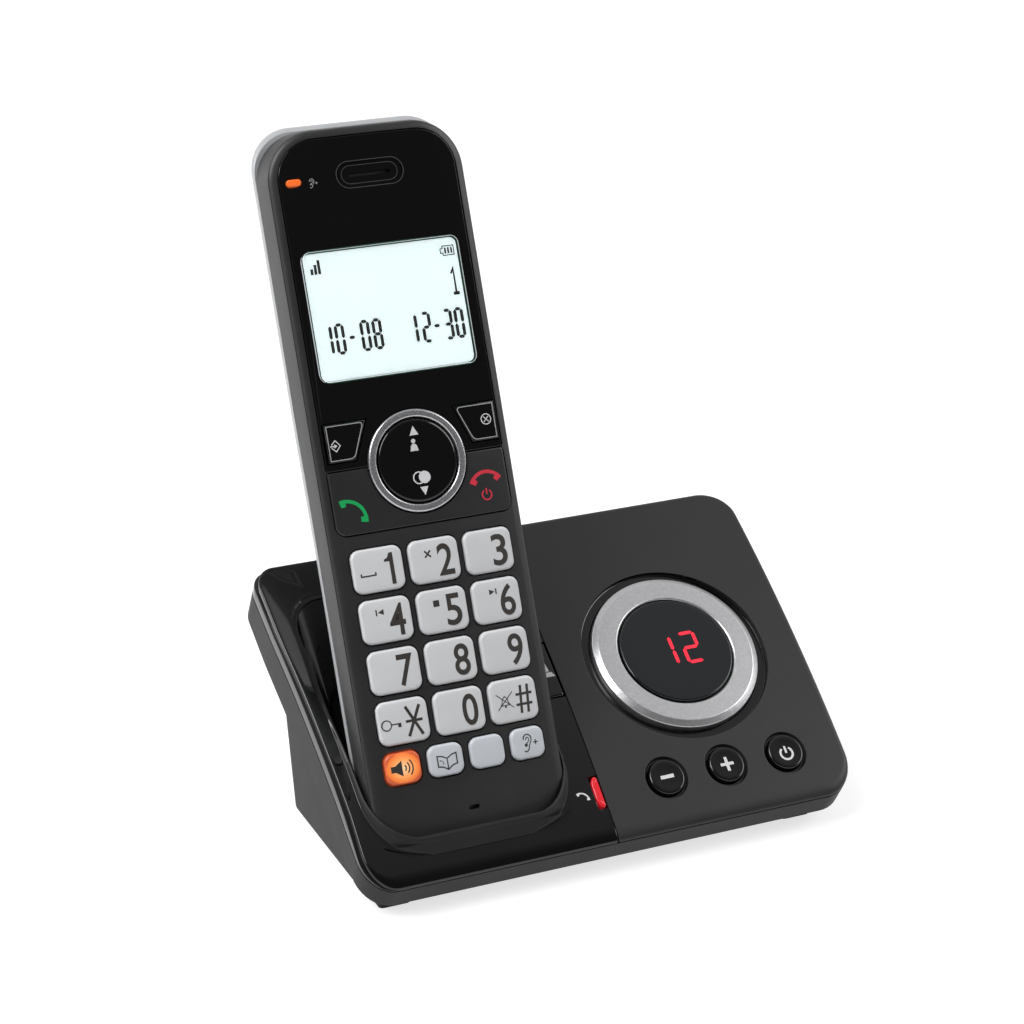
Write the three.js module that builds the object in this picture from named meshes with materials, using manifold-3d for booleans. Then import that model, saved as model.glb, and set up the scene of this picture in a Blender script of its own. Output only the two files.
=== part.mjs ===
// Cordless telephone on the base of its answering machine, in millimetres, +Z up.
// The front faces -Y and +X is on the right. The base is laid out from three lines: the seam between
// its two halves is x = 0, its front edge y = 0 and the table z = 0. The handset is laid out in its
// own frame: x across it, y along it from the foot, z out of its face. The whole is then moved so that
// the middle of its footprint is the origin.
import * as THREE from 'three';
import { mergeVertices } from 'three/addons/utils/BufferGeometryUtils.js';
import Module from 'manifold-3d';

const wasm = await Module();
wasm.setup();

// Clearances shared by all pieces
const gap = 0.3;
const keyGap = 0.35;
const overrun = 1;

// Driving dimensions of the handset
const handsetLength = 176;
const handsetWidth = 50.8;
const handsetDepth = 27.5;
const handsetLean = THREE.MathUtils.degToRad(66.4);
const footLineReach = 7.7;
const footLineHeight = 15.4;
const footCorner = 11;
const headCorner = 12.5;
const sideFlare = 1.1;
const headFlare = 3.1;
const faceCrown = 1.46;
const frontDepth = 8;
const housingWall = 2.2;
const faceRim = 1.9;
const panelDepth = 1.3;
const cellRadius = 5.25;
const cellLength = 44.5;

// Driving dimensions of the base
const dialSideWidth = 67.7;
const cradleMargin = 8;
const pageStripWidth = 7.8;
const cradleClearance = 0.9;
const baseReach = 76.8;
const noseHeight = 10.4;
const noseSlope = THREE.MathUtils.degToRad(41.5);
const surfaceRadius = 406;
const baseCornerAcross = 9;
const baseCornerAlong = 7.6;
const slabSlope = THREE.MathUtils.degToRad(30.6);
const undersideFrontReach = 4.7;
const undersideFrontHeight = 3.2;
const bandHeight = 7.3;
const bandDraft = 0.9;
const baseWall = 2;
const topWall = 2.4;
const seamWall = 1.6;
const edgeFillet = 1.3;
const edgeLand = 0.2;
const pedestalInset = 7.1;
const pedestalFront = 9.6;
const pedestalBack = 67.5;
const pedestalLean = 10.2;
const pedestalCorner = 4.5;
const pedestalBottom = 1.2;
const footWidth = 8.2;
const footLength = 7.8;
const footCornerRadius = 1.2;
const footPlugRadius = 1.5;
const footInset = 13;
const footFront = 13.9;
const footBack = 60;

// Driving dimensions of the cradle
const coverThickness = 2.2;
const coverBand = 2.3;
const coverStep = 0.55;
const seamGap = 0.3;
const cradleWall = 1.5;
const wellBack = 67;
const lipSkirt = 3.4;
const lipHeight = 3;
const lipReach = 40;

// Driving dimensions of the dial and the keys of the base, across in shares of the dial's side
const dialAcrossShare = 0.4874;
const dialRecessShare = 0.3663;
const baseKeyMiddleShare = 0.508;
const baseKeyPitchShare = 0.2482;
const dialAcross = dialSideWidth * dialAcrossShare;
const dialReach = 36.4;
const dialRecessRadius = dialSideWidth * dialRecessShare;
const dialRecessDepth = 1.8;
const dialMoat = 2.7;
const dialRadius = dialRecessRadius - dialMoat;
const dialRingWidth = 7.1;
const dialLensRadius = dialRadius - dialRingWidth;
const dialRise = 1;
const dialThickness = 3.4;
const dialTiltGap = 0.4;
const boardDepth = 7.6;
const boardThickness = 1.6;
const baseKeyRadius = 4.7;
const baseKeyRise = 0.6;
const baseKeyPitch = dialSideWidth * baseKeyPitchShare;
const baseKeyReach = 10;
const baseKeyMiddle = dialSideWidth * baseKeyMiddleShare;

// Places on the handset's face. Across they are shares of its width, and along they are shares of its
// length, counted from the rocker.
const faceHalf = handsetWidth / 2 - sideFlare;
const panelHalf = faceHalf - faceRim;
const faceTop = handsetLength - headFlare;
const rockerShare = 0.1988;
const rockerHeightShare = 0.5205;
const rockerRadius = handsetWidth * rockerShare;
const rockerRingWidth = 2.4;
const rockerRingRadius = rockerRadius + rockerRingWidth;
const rockerHeight = handsetLength * rockerHeightShare;
const panelFootRise = 0.4;
const panelBottom = rockerHeight + panelFootRise;
const softKeyRiseTop = 11.6;
const softKeyRiseBottom = 2.4;
const softKeyTop = rockerHeight + softKeyRiseTop;
const softKeyBottom = rockerHeight + softKeyRiseBottom;
const softKeyRim = 0.4;
const softKeyOuter = panelHalf - softKeyRim;
const softKeyOverlap = 1.1;
const softKeyClearance = 2.7;
const softKeyInnerTop = rockerRingRadius - softKeyOverlap;
const softKeyInnerBottom = rockerRingRadius + softKeyClearance;
const displayShare = 0.7933;
const displayLengthShare = 0.179;
const displayWidth = handsetWidth * displayShare;
const displayFoot = 9.9;
const displayBottom = softKeyTop + displayFoot;
const displayTop = displayBottom + handsetLength * displayLengthShare;
const displayAcross = -0.3;
const earDrop = 11;
const earHeight = faceTop - earDrop;
const callPlateMargin = 2.8;
const callPlateBottom = rockerHeight - rockerRingRadius - callPlateMargin;
const keyPitchShare = 0.28346;
const functionPitchShare = 0.21398;
const keyPitchAcross = handsetWidth * keyPitchShare;
const keyLandAcross = 1.7;
const keyWidth = keyPitchAcross - keyLandAcross;
const keyPitchAlongShare = 0.06966;
const keyHeightShare = 0.8646;
const firstRowShare = 0.738;
const functionRowShare = 0.895;
const functionHeightShare = 0.628;
const keyPitchAlong = handsetLength * keyPitchAlongShare;
const keyHeight = keyPitchAlong * keyHeightShare;
const firstKeyRow = callPlateBottom - keyPitchAlong * firstRowShare;
const functionRow = firstKeyRow - keyPitchAlong * (3 + functionRowShare);
const functionPitch = handsetWidth * functionPitchShare;
const functionLand = 1.97;
const functionWidth = functionPitch - functionLand;
const functionHeight = keyPitchAlong * functionHeightShare;
const keyCorner = 2.2;
const keyRise = 1;

// Outlines and lofts
const CORNER_STEPS = 5;
const SIDE_STEPS = 8;
const END_STEPS = 6;
const keySteps = { cornerSteps: 3, sideSteps: 2, endSteps: 2 };

// A rounded rectangle as points, anticlockwise from the middle of its front edge. Its radii are those
// of the front right, back right, back left and front left corner.
function outline(box, radii, steps = {}) {
  const corner = steps.cornerSteps ?? CORNER_STEPS;
  const side = steps.sideSteps ?? SIDE_STEPS;
  const end = steps.endSteps ?? END_STEPS;
  const middle = (box.x0 + box.x1) / 2;
  const points = [];
  const run = (from, to, count) => {
    for (let i = 0; i < count; i++) {
      points.push(new THREE.Vector2().lerpVectors(from, to, i / count));
    }
  };
  const arc = (cx, cy, radius, start) => {
    for (let i = 0; i < corner; i++) {
      const angle = start + (Math.PI / 2) * (i / corner);
      points.push(new THREE.Vector2(cx + radius.x * Math.cos(angle), cy + radius.y * Math.sin(angle)));
    }
  };
  const [frontRight, backRight, backLeft, frontLeft] = radii.map((r) => (
    typeof r === 'number' ? { x: r, y: r } : r
  ));
  const at = (x, y) => new THREE.Vector2(x, y);
  run(at(middle, box.y0), at(box.x1 - frontRight.x, box.y0), end / 2);
  arc(box.x1 - frontRight.x, box.y0 + frontRight.y, frontRight, -Math.PI / 2);
  run(at(box.x1, box.y0 + frontRight.y), at(box.x1, box.y1 - backRight.y), side);
  arc(box.x1 - backRight.x, box.y1 - backRight.y, backRight, 0);
  run(at(box.x1 - backRight.x, box.y1), at(box.x0 + backLeft.x, box.y1), end);
  arc(box.x0 + backLeft.x, box.y1 - backLeft.y, backLeft, Math.PI / 2);
  run(at(box.x0, box.y1 - backLeft.y), at(box.x0, box.y0 + frontLeft.y), side);
  arc(box.x0 + frontLeft.x, box.y0 + frontLeft.y, frontLeft, Math.PI);
  run(at(box.x0 + frontLeft.x, box.y0), at(middle, box.y0), end / 2);
  return points;
}

// Radii of an outline whose front corners share one radius and whose back corners share another
function pairs(front, back = front) {
  return [front, back, back, front];
}

function inset(box, by) {
  return { x0: box.x0 + by, x1: box.x1 - by, y0: box.y0 + by, y1: box.y1 - by };
}

function shrink(radius, by) {
  return Math.max(radius - by, gap);
}

// Index of the point in the middle of an outline's right side, where a cap in lengthwise strips starts
function rightMiddle(steps = {}) {
  const corner = steps.cornerSteps ?? CORNER_STEPS;
  const side = steps.sideSteps ?? SIDE_STEPS;
  const end = steps.endSteps ?? END_STEPS;
  return end / 2 + corner + side / 2;
}

// A closed solid through rings of equal count. Each end is closed in strips between the two chains
// that leave the ring's start point, so that a cap follows a surface curved one way.
function loft(rings, capStart = 0) {
  const count = rings[0].length;
  const positions = rings.flat().flatMap((p) => [p.x, p.y, p.z]);
  const faces = [];
  for (let r = 0; r + 1 < rings.length; r++) {
    for (let i = 0; i < count; i++) {
      const j = (i + 1) % count;
      const a = r * count + i;
      const b = r * count + j;
      faces.push([a, b, b + count], [a, b + count, a + count]);
    }
  }
  const cap = (offset, flip) => {
    const at = (i) => offset + (((capStart + i) % count) + count) % count;
    const put = (a, b, c) => faces.push(flip ? [a, c, b] : [a, b, c]);
    put(at(0), at(1), at(-1));
    for (let i = 1; i < count / 2 - 1; i++) {
      put(at(i), at(i + 1), at(-i - 1));
      put(at(i), at(-i - 1), at(-i));
    }
    put(at(count / 2 - 1), at(count / 2), at(-count / 2 + 1));
  };
  cap(0, true);
  cap((rings.length - 1) * count, false);
  const geometry = new THREE.BufferGeometry();
  geometry.setAttribute('position', new THREE.Float32BufferAttribute(positions, 3));
  geometry.setIndex(faces.flat());
  return outward(geometry);
}

// Turns the faces round where a loft was wound inwards
function outward(geometry) {
  const p = geometry.getAttribute('position');
  const index = geometry.getIndex().array;
  const corner = [new THREE.Vector3(), new THREE.Vector3(), new THREE.Vector3()];
  let volume = 0;
  for (let i = 0; i < index.length; i += 3) {
    corner.forEach((v, k) => v.fromBufferAttribute(p, index[i + k]));
    volume += corner[0].dot(corner[1].clone().cross(corner[2]));
  }
  if (volume < 0) {
    for (let i = 0; i < index.length; i += 3) {
      [index[i + 1], index[i + 2]] = [index[i + 2], index[i + 1]];
    }
  }
  return geometry;
}

function solid(geometry) {
  const bare = geometry.clone();
  for (const name of Object.keys(bare.attributes)) {
    if (name !== 'position') bare.deleteAttribute(name);
  }
  const merged = mergeVertices(bare, 1e-5);
  return new wasm.Manifold(new wasm.Mesh({
    numProp: 3,
    vertProperties: new Float32Array(merged.getAttribute('position').array),
    triVerts: new Uint32Array(merged.getIndex().array),
  }));
}

function shape(body) {
  const mesh = body.getMesh();
  const geometry = new THREE.BufferGeometry();
  geometry.setAttribute('position', new THREE.Float32BufferAttribute(mesh.vertProperties, 3));
  geometry.setIndex(Array.from(mesh.triVerts));
  return geometry;
}

function cut(geometry, ...tools) {
  return shape(tools.reduce((body, tool) => body.subtract(solid(tool)), solid(geometry)));
}

function join(geometry, ...others) {
  return shape(others.reduce((body, other) => body.add(solid(other)), solid(geometry)));
}

// A box between two heights, centred across and along
function block(width, length, low, high, x = 0, y = 0) {
  return new THREE.BoxGeometry(width, length, high - low).translate(x, y, (low + high) / 2);
}

// A round bar between two heights, standing along z
function bar(radius, low, high, x = 0, y = 0, sides = 24, topRadius = radius) {
  return new THREE.CylinderGeometry(topRadius, radius, high - low, sides)
    .rotateX(Math.PI / 2)
    .translate(x, y, (low + high) / 2);
}

// A turned piece from a closed profile of [radius, height] pairs, standing along z
function turned(profile, sides = 32) {
  const points = profile.map(([radius, height]) => new THREE.Vector2(radius, height));
  return new THREE.LatheGeometry(points, sides).rotateX(Math.PI / 2);
}

function plate(points, low, high) {
  const flat = new THREE.ExtrudeGeometry(new THREE.Shape(points), { depth: high - low, bevelEnabled: false });
  return flat.translate(0, 0, low);
}

function finish(color, roughness, metalness = 0) {
  return new THREE.MeshStandardMaterial({ color, roughness, metalness });
}

const satinBlack = finish(0x2f3031, 0.5);
const glossBlack = finish(0x0d0d0f, 0.12);
const handsetBlack = finish(0x2b2b2d, 0.45);
const silverGrey = finish(0x96989b, 0.4);
const whiteKey = finish(0xcdced0, 0.35);
const greyKey = finish(0xb4bac2, 0.4);
const orangeKey = finish(0xe8873c, 0.4);
const silver = finish(0xb0b1b3, 0.3, 0.8);
const smokedLens = finish(0x16191d, 0.08);
const clearLens = finish(0xe7f5f6, 0.08);
const displayGreen = finish(0xe7f5f6, 0.5);
const redLens = finish(0xc71d28, 0.25);
const orangeLens = finish(0xea6a2b, 0.3);
const boardGreen = finish(0x2c5a3c, 0.6);
const rubberBlack = finish(0x1b1b1c, 0.9);
const siliconeGrey = finish(0x8d9094, 0.7);
const contactMetal = finish(0xc9b27a, 0.3, 1);
const cellSleeve = finish(0x3f7d5a, 0.4);
const speakerSteel = finish(0x6d7073, 0.4, 0.9);

const machine = new THREE.Group();
const base = new THREE.Group();
const handset = new THREE.Group();
machine.add(base, handset);

function piece(parent, name, geometry, material) {
  const mesh = new THREE.Mesh(geometry, material);
  mesh.name = name;
  parent.add(mesh);
  return mesh;
}

// Form of the base: an arched slab, square to its own slope at the edges, on a narrower pedestal
const arcCentreReach = surfaceRadius * Math.sin(noseSlope);
const arcCentreHeight = noseHeight - surfaceRadius * Math.cos(noseSlope);

function surfaceHeight(y) {
  return arcCentreHeight + Math.sqrt(surfaceRadius ** 2 - (y - arcCentreReach) ** 2);
}

function surfaceSlope(y) {
  return Math.asin((arcCentreReach - y) / surfaceRadius);
}

function undersideHeight(y) {
  return undersideFrontHeight + (y - undersideFrontReach) * Math.tan(slabSlope);
}

// Depth of the slab's flat underside below the arched surface, measured square to the slab
function slabDepth(y) {
  const rise = surfaceHeight(y) - undersideFrontHeight;
  return rise * Math.cos(slabSlope) - (y - undersideFrontReach) * Math.sin(slabSlope);
}

// A point of the slab at a depth under the surface point (x, y)
function slabPoint(x, y, depth) {
  return new THREE.Vector3(
    x,
    y + depth * Math.sin(slabSlope),
    surfaceHeight(y) - depth * Math.cos(slabSlope),
  );
}

const wellHalf = handsetWidth / 2 + cradleClearance;
const handsetAcross = -pageStripWidth - wellHalf;
const cradleSideWidth = cradleMargin + 2 * wellHalf + pageStripWidth;
const baseBox = { x0: -cradleSideWidth, x1: dialSideWidth, y0: 0, y1: baseReach };
const slabSteps = { cornerSteps: 5, sideSteps: 10, endSteps: 6 };
const baseCorner = { x: baseCornerAcross, y: baseCornerAlong };
const sharp = { x: gap, y: gap };

// A ring of the slab, drawn in on all sides. Where one side lies on the seam (1 for the right side
// and -1 for the left), that side stays in place and its corners are sharp.
function slabRing(box, by, depth, corner = baseCorner, seamSide = 0) {
  const ringBox = inset(box, by);
  if (seamSide > 0) ringBox.x1 = box.x1;
  if (seamSide < 0) ringBox.x0 = box.x0;
  const round = { x: shrink(corner.x, by), y: shrink(corner.y, by) };
  const right = seamSide > 0 ? sharp : round;
  const left = seamSide < 0 ? sharp : round;
  return outline(ringBox, [right, right, left, left], slabSteps).map((p) => {
    const down = typeof depth === 'function' ? depth(p.y) : depth;
    return slabPoint(p.x, p.y, down);
  });
}

// Depths below the surface: of the parting line, of the rounded edge and of the cover's underside
const partingDepth = (y) => slabDepth(y) - bandHeight;
const edgeDepth = (y) => Math.min(edgeFillet, partingDepth(y) - edgeLand);
const coverDepth = (y) => Math.min(coverThickness, partingDepth(y) - edgeLand);

// Frames that stand square on the arched surface
function surfaceFrame(x, y) {
  const frame = new THREE.Group();
  frame.position.set(x, y, surfaceHeight(y));
  frame.rotation.x = surfaceSlope(y);
  frame.updateMatrix();
  base.add(frame);
  return frame;
}

const dialFrame = surfaceFrame(dialAcross, dialReach);
const baseKeyNames = ['volume_down_key', 'volume_up_key', 'power_key'];
const baseKeyFrames = baseKeyNames.map((name, i) => (
  surfaceFrame(baseKeyMiddle + (i - 1) * baseKeyPitch, baseKeyReach)
));

// Top housing: the satin shell on the dial's side of the seam
const topBox = { ...baseBox, x0: 0 };
const pageKeyFront = 31.6;
const pageKeyBack = 44.4;
const pageKeyLeft = handsetAcross + wellHalf + cradleWall + keyGap;
const pageKeyRight = -seamGap - gap;
const pageKeyFlange = 1.2;
const pageKeyTravel = 0.8;

function slabBlock(box, by, top, bottom, corner) {
  return loft([slabRing(box, by, bottom, corner), slabRing(box, by, top, corner)]);
}

const keyBossWall = 2.4;
const keyBossRadius = baseKeyRadius + keyBossWall;
const keyRecessWidth = 0.9;
const keyRecessRadius = baseKeyRadius + keyRecessWidth;
const keyRecessDepth = 1;
const bossDepth = 5;
const keyBossDepth = 2.8;

function topHousing() {
  const outer = loft([
    slabRing(topBox, 0, partingDepth, baseCorner, -1),
    slabRing(topBox, 0, edgeDepth, baseCorner, -1),
    slabRing(topBox, edgeFillet * 0.3, (y) => edgeDepth(y) * 0.3, baseCorner, -1),
    slabRing(topBox, edgeFillet, 0, baseCorner, -1),
  ]);
  const voidBox = { ...inset(baseBox, baseWall), x0: seamWall };
  const corner = { x: baseCornerAcross - baseWall, y: baseCornerAlong - baseWall };
  const voidRing = (depth) => slabRing(voidBox, 0, depth, corner, -1);
  const bosses = [
    bar(dialRecessRadius + baseWall, -bossDepth, overrun, 0, 0, 40).applyMatrix4(dialFrame.matrix),
    ...baseKeyFrames.map((frame) => bar(keyBossRadius, -keyBossDepth, overrun).applyMatrix4(frame.matrix)),
  ];
  const room = cut(loft([voidRing((y) => partingDepth(y) + overrun), voidRing(topVoidDepth)]), ...bosses);
  const dialCuts = [
    bar(dialRecessRadius, -dialRecessDepth, bossDepth, 0, 0, 40),
    bar(dialRadius + dialTiltGap, -bossDepth - overrun, 0, 0, 0, 40),
  ].map((tool) => tool.applyMatrix4(dialFrame.matrix));
  const keyCuts = baseKeyFrames.flatMap((frame) => [
    bar(keyRecessRadius, -keyRecessDepth, bossDepth).applyMatrix4(frame.matrix),
    bar(baseKeyRadius + keyGap, -bossDepth - overrun, 0).applyMatrix4(frame.matrix),
  ]);
  return cut(outer, room, ...dialCuts, ...keyCuts);
}

// Near the nose the slab is too thin for the top wall's full thickness
function topVoidDepth(y) {
  return Math.min(topWall, partingDepth(y) + overrun / 2);
}

// Bottom housing: the slab's lower band, the pedestal under it and its floor
function pedestalRing(by, lift) {
  const box = inset({
    x0: baseBox.x0 + pedestalInset,
    x1: baseBox.x1 - pedestalInset,
    y0: pedestalFront,
    y1: pedestalBack,
  }, by);
  const stretch = (pedestalBack + pedestalLean - pedestalFront) / (pedestalBack - pedestalFront);
  return outline(box, pairs(shrink(pedestalCorner, by)), slabSteps).map((p) => {
    if (lift === undefined) return new THREE.Vector3(p.x, p.y, pedestalBottom);
    const y = pedestalFront + (p.y - pedestalFront) * stretch;
    return new THREE.Vector3(p.x, y, undersideHeight(y) + lift);
  });
}

const jackWidth = 12;
const jackHeight = 12;
const jackLength = 14;
const jackShare = 0.325;
const jackAcross = dialSideWidth * jackShare;
const jackStand = 1.4;
const jackBack = pedestalBack + jackStand;
const inletWidth = 9.5;
const inletHeight = 10.5;
const inletLength = 13;
const inletShare = 0.62;
const inletAcross = dialSideWidth * inletShare;
const floorTop = pedestalBottom + baseWall;

function jackHole(width, height, across) {
  return block(width + 2 * gap, pedestalLean * 2, floorTop, floorTop + height + 2 * gap, across, pedestalBack);
}

function bottomHousing() {
  const band = loft([
    slabRing(baseBox, bandDraft, slabDepth),
    slabRing(baseBox, 0, (y) => partingDepth(y) + gap),
  ]);
  const pedestal = loft([pedestalRing(0), pedestalRing(0, overrun)]);
  const corner = { x: baseCornerAcross - baseWall, y: baseCornerAlong - baseWall };
  const bandVoid = slabBlock(
    inset(baseBox, baseWall + bandDraft / 2),
    0,
    (y) => partingDepth(y) - overrun,
    (y) => slabDepth(y) - baseWall,
    corner,
  );
  const pedestalVoid = loft([
    pedestalRing(baseWall).map((p) => p.setZ(floorTop)),
    pedestalRing(baseWall, 2 * baseWall),
  ]);
  const wellSpace = loft([
    ...wellLevels.map((level) => wellRing(level, cradleWall + gap)),
    coverRing(cradleWall + gap, 0, coverDepth),
  ]);
  const plugHoles = footPlaces().map(([x, y]) => bar(footPlugRadius, 0, floorTop + overrun, x, y, 16));
  return cut(
    join(band, pedestal),
    bandVoid,
    pedestalVoid,
    wellSpace,
    jackHole(jackWidth, jackHeight, jackAcross),
    jackHole(inletWidth, inletHeight, inletAcross),
    ...plugHoles,
  );
}

function footPlaces() {
  const left = baseBox.x0 + footInset;
  const right = baseBox.x1 - footInset;
  return [[left, footFront], [right, footFront], [left, footBack], [right, footBack]];
}

// Place of the handset, which leans back in the cradle
handset.position.set(handsetAcross, footLineReach, footLineHeight);
handset.rotation.x = handsetLean;
handset.updateMatrix();

function handsetPoint(x, along, out) {
  return new THREE.Vector3(x, along, out).applyMatrix4(handset.matrix);
}

// Cradle cover: the gloss plate with the well that the handset's foot stands in, moulded in one piece
// with the lip round the foot. Its rings run from the well's floor up the wall, over the lip, out to
// the edge and back underneath.
const wellFrontRoom = 1;
const wellFrontReach = footLineReach - wellFrontRoom;
const wellFaceRoom = 0.2;
const wellFace = cradleClearance + wellFaceRoom;
// Levels of the well in shares of the handset's depth: how much narrower it is there than its mouth,
// the depth of its back wall behind the handset's face, the height of its front and back above the
// foot line, and its near and far corner radii
const wellShares = [
  { narrow: 0.389, back: 0.655, front: -0.018, rear: -0.018, near: 0.145, farAcross: 0.218, farAlong: 0.218 },
  { narrow: 0.2, back: 0.782, front: 0.033, rear: 0.047, near: 0.182, farAcross: 0.327, farAlong: 0.327 },
  { narrow: 0.087, back: 0.916, front: 0.069, rear: 0.175, near: 0.218, farAcross: 0.436, farAlong: 0.509 },
  { narrow: 0, back: 1.045, front: 0.098, rear: 0.455, near: 0.255, farAcross: 0.473, farAlong: 0.582 },
];
const wellLevels = wellShares.map((shares) => (
  Object.fromEntries(Object.entries(shares).map(([name, share]) => [name, share * handsetDepth]))
));
const wellSteps = { cornerSteps: 5, sideSteps: 6, endSteps: 6 };
const wellCorner = footCorner + cradleClearance;

function wellRing(level, by) {
  const half = wellHalf - level.narrow + by;
  const box = { x0: -half, x1: half, y0: -wellFace - by, y1: level.back + by };
  const far = { x: level.farAcross + by, y: level.farAlong + by };
  return outline(box, pairs(level.near + by, far), wellSteps).map((p) => {
    const share = (p.y - box.y0) / (box.y1 - box.y0);
    const along = level.front + (level.rear - level.front) * share;
    return handsetPoint(p.x, along - by, -p.y);
  });
}

function lipRise(y) {
  const share = THREE.MathUtils.clamp((lipReach - y) / (lipReach - wellFrontReach), 0, 1);
  return lipHeight * share;
}

function coverRing(by, rise, depth) {
  const box = {
    x0: handsetAcross - wellHalf - by,
    x1: handsetAcross + wellHalf + by,
    y0: wellFrontReach - by,
    y1: wellBack + by,
  };
  return outline(box, pairs(wellCorner + by), wellSteps).map((p) => {
    const down = typeof depth === 'function' ? depth(p.y) : depth;
    return slabPoint(p.x, p.y, down).add(new THREE.Vector3(0, 0, rise * lipRise(p.y)));
  });
}

// A ring of the cover's edge. The side on the seam stays in place.
const coverBox = { ...baseBox, x1: -seamGap };
function coverEdge(by, depth, seamBy = 0) {
  const box = { ...inset(coverBox, by), x1: coverBox.x1 - seamBy };
  const round = { x: shrink(baseCornerAcross, by), y: shrink(baseCornerAlong, by) };
  return outline(box, [sharp, sharp, round, round], wellSteps).map((p) => {
    const down = typeof depth === 'function' ? depth(p.y) : depth;
    return slabPoint(p.x, p.y, down);
  });
}

// The band under the cover's edge steps out, and the step runs out where the band gets low
function bandRings() {
  const top = (y) => Math.max(partingDepth(y) - coverBand, edgeDepth(y) + edgeLand / 2);
  return [steppedEdge((y) => top(y) - edgeLand / 4), coverEdge(0, top)];
}

function stepAt(y) {
  return coverStep * THREE.MathUtils.clamp((partingDepth(y) - coverBand - edgeFillet) / coverBand, 0, 1);
}

function steppedEdge(depth) {
  const level = coverEdge(0, 0);
  const middle = (coverBox.x0 + coverBox.x1) / 2;
  return level.map((p) => {
    const reach = p.y;
    const by = stepAt(reach);
    const x = p.x < middle ? Math.min(p.x + by, middle) : p.x;
    const y = reach > coverBox.y1 - baseCornerAlong / 2 ? reach - by : reach;
    return slabPoint(x, y, depth(reach));
  });
}

const lampFront = 6.8;
const lampBack = 13.1;
const lampLeft = -2.4;
const contactAcross = 9;
const contactOut = -16;
const contactWidth = 4;
const contactThickness = 0.6;

function pageKeyCut() {
  const box = { x0: pageKeyLeft - keyGap, x1: overrun, y0: pageKeyFront - keyGap, y1: pageKeyBack + keyGap };
  return slabBlock(box, 0, -overrun, coverThickness + overrun / 2, sharp);
}

// Room under the cover's plate for the page key's flange to travel in
const flangeTop = coverThickness + gap;
const flangeRoom = flangeTop + pageKeyFlange + pageKeyTravel + gap;
function pageKeyRoom() {
  const by = pageKeyFlange + keyGap;
  const box = { x0: pageKeyLeft - keyGap, x1: overrun, y0: pageKeyFront - by, y1: pageKeyBack + by };
  return slabBlock(box, 0, coverThickness, flangeRoom, sharp);
}

function lampCut() {
  const box = { x0: lampLeft - gap, x1: overrun, y0: lampFront - gap, y1: lampBack + gap };
  return slabBlock(box, 0, -overrun, (y) => coverDepth(y) + gap / 2, sharp);
}

function contactSlot(side) {
  const slot = block(contactWidth + 2 * gap, handsetDepth / 2, -contactThickness / 2 - gap, contactThickness / 2 + gap);
  return slot.translate(side * contactAcross, 0, contactOut).applyMatrix4(handset.matrix);
}

// Profile of the lip: distance outwards as a share of its skirt, and share of its full rise
const lipProfileShares = [[0, 0.8], [0.09, 0.95], [0.24, 1], [0.45, 0.84], [0.68, 0.42], [0.86, 0.1], [1, 0]];
function cradleCover() {
  const skirt = Math.min(lipSkirt, pageStripWidth - 4 * seamGap);
  const body = loft([
    ...wellLevels.map((level) => wellRing(level, 0)),
    ...lipProfileShares.map(([out, rise]) => coverRing(skirt * out, rise, 0)),
    coverEdge(edgeFillet * 0.6, 0),
    steppedEdge((y) => edgeDepth(y) * 0.5),
    ...bandRings(),
    coverEdge(0, partingDepth),
    coverEdge(baseWall, partingDepth, baseWall),
    coverEdge(baseWall, coverDepth, baseWall),
    coverRing(cradleWall + gap, 0, coverDepth),
    coverRing(cradleWall, 0, coverDepth),
    ...[...wellLevels].reverse().map((level) => wellRing(level, cradleWall)),
  ]);
  return cut(body, pageKeyCut(), pageKeyRoom(), lampCut(), contactSlot(-1), contactSlot(1));
}

// Shells of the base
piece(base, 'top_housing', topHousing(), satinBlack);
piece(base, 'bottom_housing', bottomHousing(), satinBlack);
piece(base, 'cradle_cover', cradleCover(), glossBlack);

const footNames = ['foot_front_left', 'foot_front_right', 'foot_back_left', 'foot_back_right'];
const footChamfer = 0.4;
const plugEase = 0.1;
footPlaces().forEach(([x, y], i) => {
  const box = { x0: -footWidth / 2, x1: footWidth / 2, y0: -footLength / 2, y1: footLength / 2 };
  const ring = (by, z) => outline(inset(box, by), pairs(shrink(footCornerRadius, by)), keySteps)
    .map((p) => new THREE.Vector3(p.x, p.y, z));
  const pad = loft([ring(footChamfer, 0), ring(0, footChamfer), ring(0, pedestalBottom - plugEase)]);
  const plug = bar(footPlugRadius - plugEase, pedestalBottom / 2, floorTop - plugEase, 0, 0, 12);
  piece(base, footNames[i], join(pad, plug).translate(x, y, 0), rubberBlack);
});

// Dial: a ring key pressed at four points, on a silicone pad, round a fixed lens
const padInnerMargin = 1.6;
const padOuterMargin = 0.7;
const padInner = dialLensRadius + padInnerMargin;
const padOuter = dialRadius - padOuterMargin;
const dialBottom = dialRise - dialThickness;
const dialChamfer = 0.6;
const travelGap = 0.62;
const padTop = dialBottom - travelGap;
const padBottom = -boardDepth + travelGap;

piece(dialFrame, 'dial_ring', turned([
  [dialLensRadius + dialTiltGap, dialBottom],
  [dialRadius, dialBottom],
  [dialRadius, dialRise - dialChamfer],
  [dialRadius - dialChamfer, dialRise],
  [dialLensRadius + dialTiltGap + dialChamfer / 2, dialRise],
  [dialLensRadius + dialTiltGap, dialRise - dialChamfer / 2],
  [dialLensRadius + dialTiltGap, dialBottom],
], 40), silver);

const lensStand = 0.2;
const lensRise = dialRise + lensStand;
const lensBottom = -2;
piece(dialFrame, 'dial_lens', turned([
  [0, lensBottom],
  [dialLensRadius, lensBottom],
  [dialLensRadius, lensRise - dialChamfer],
  [dialLensRadius - dialChamfer, lensRise],
  [0, lensRise],
], 40), smokedLens);

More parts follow.
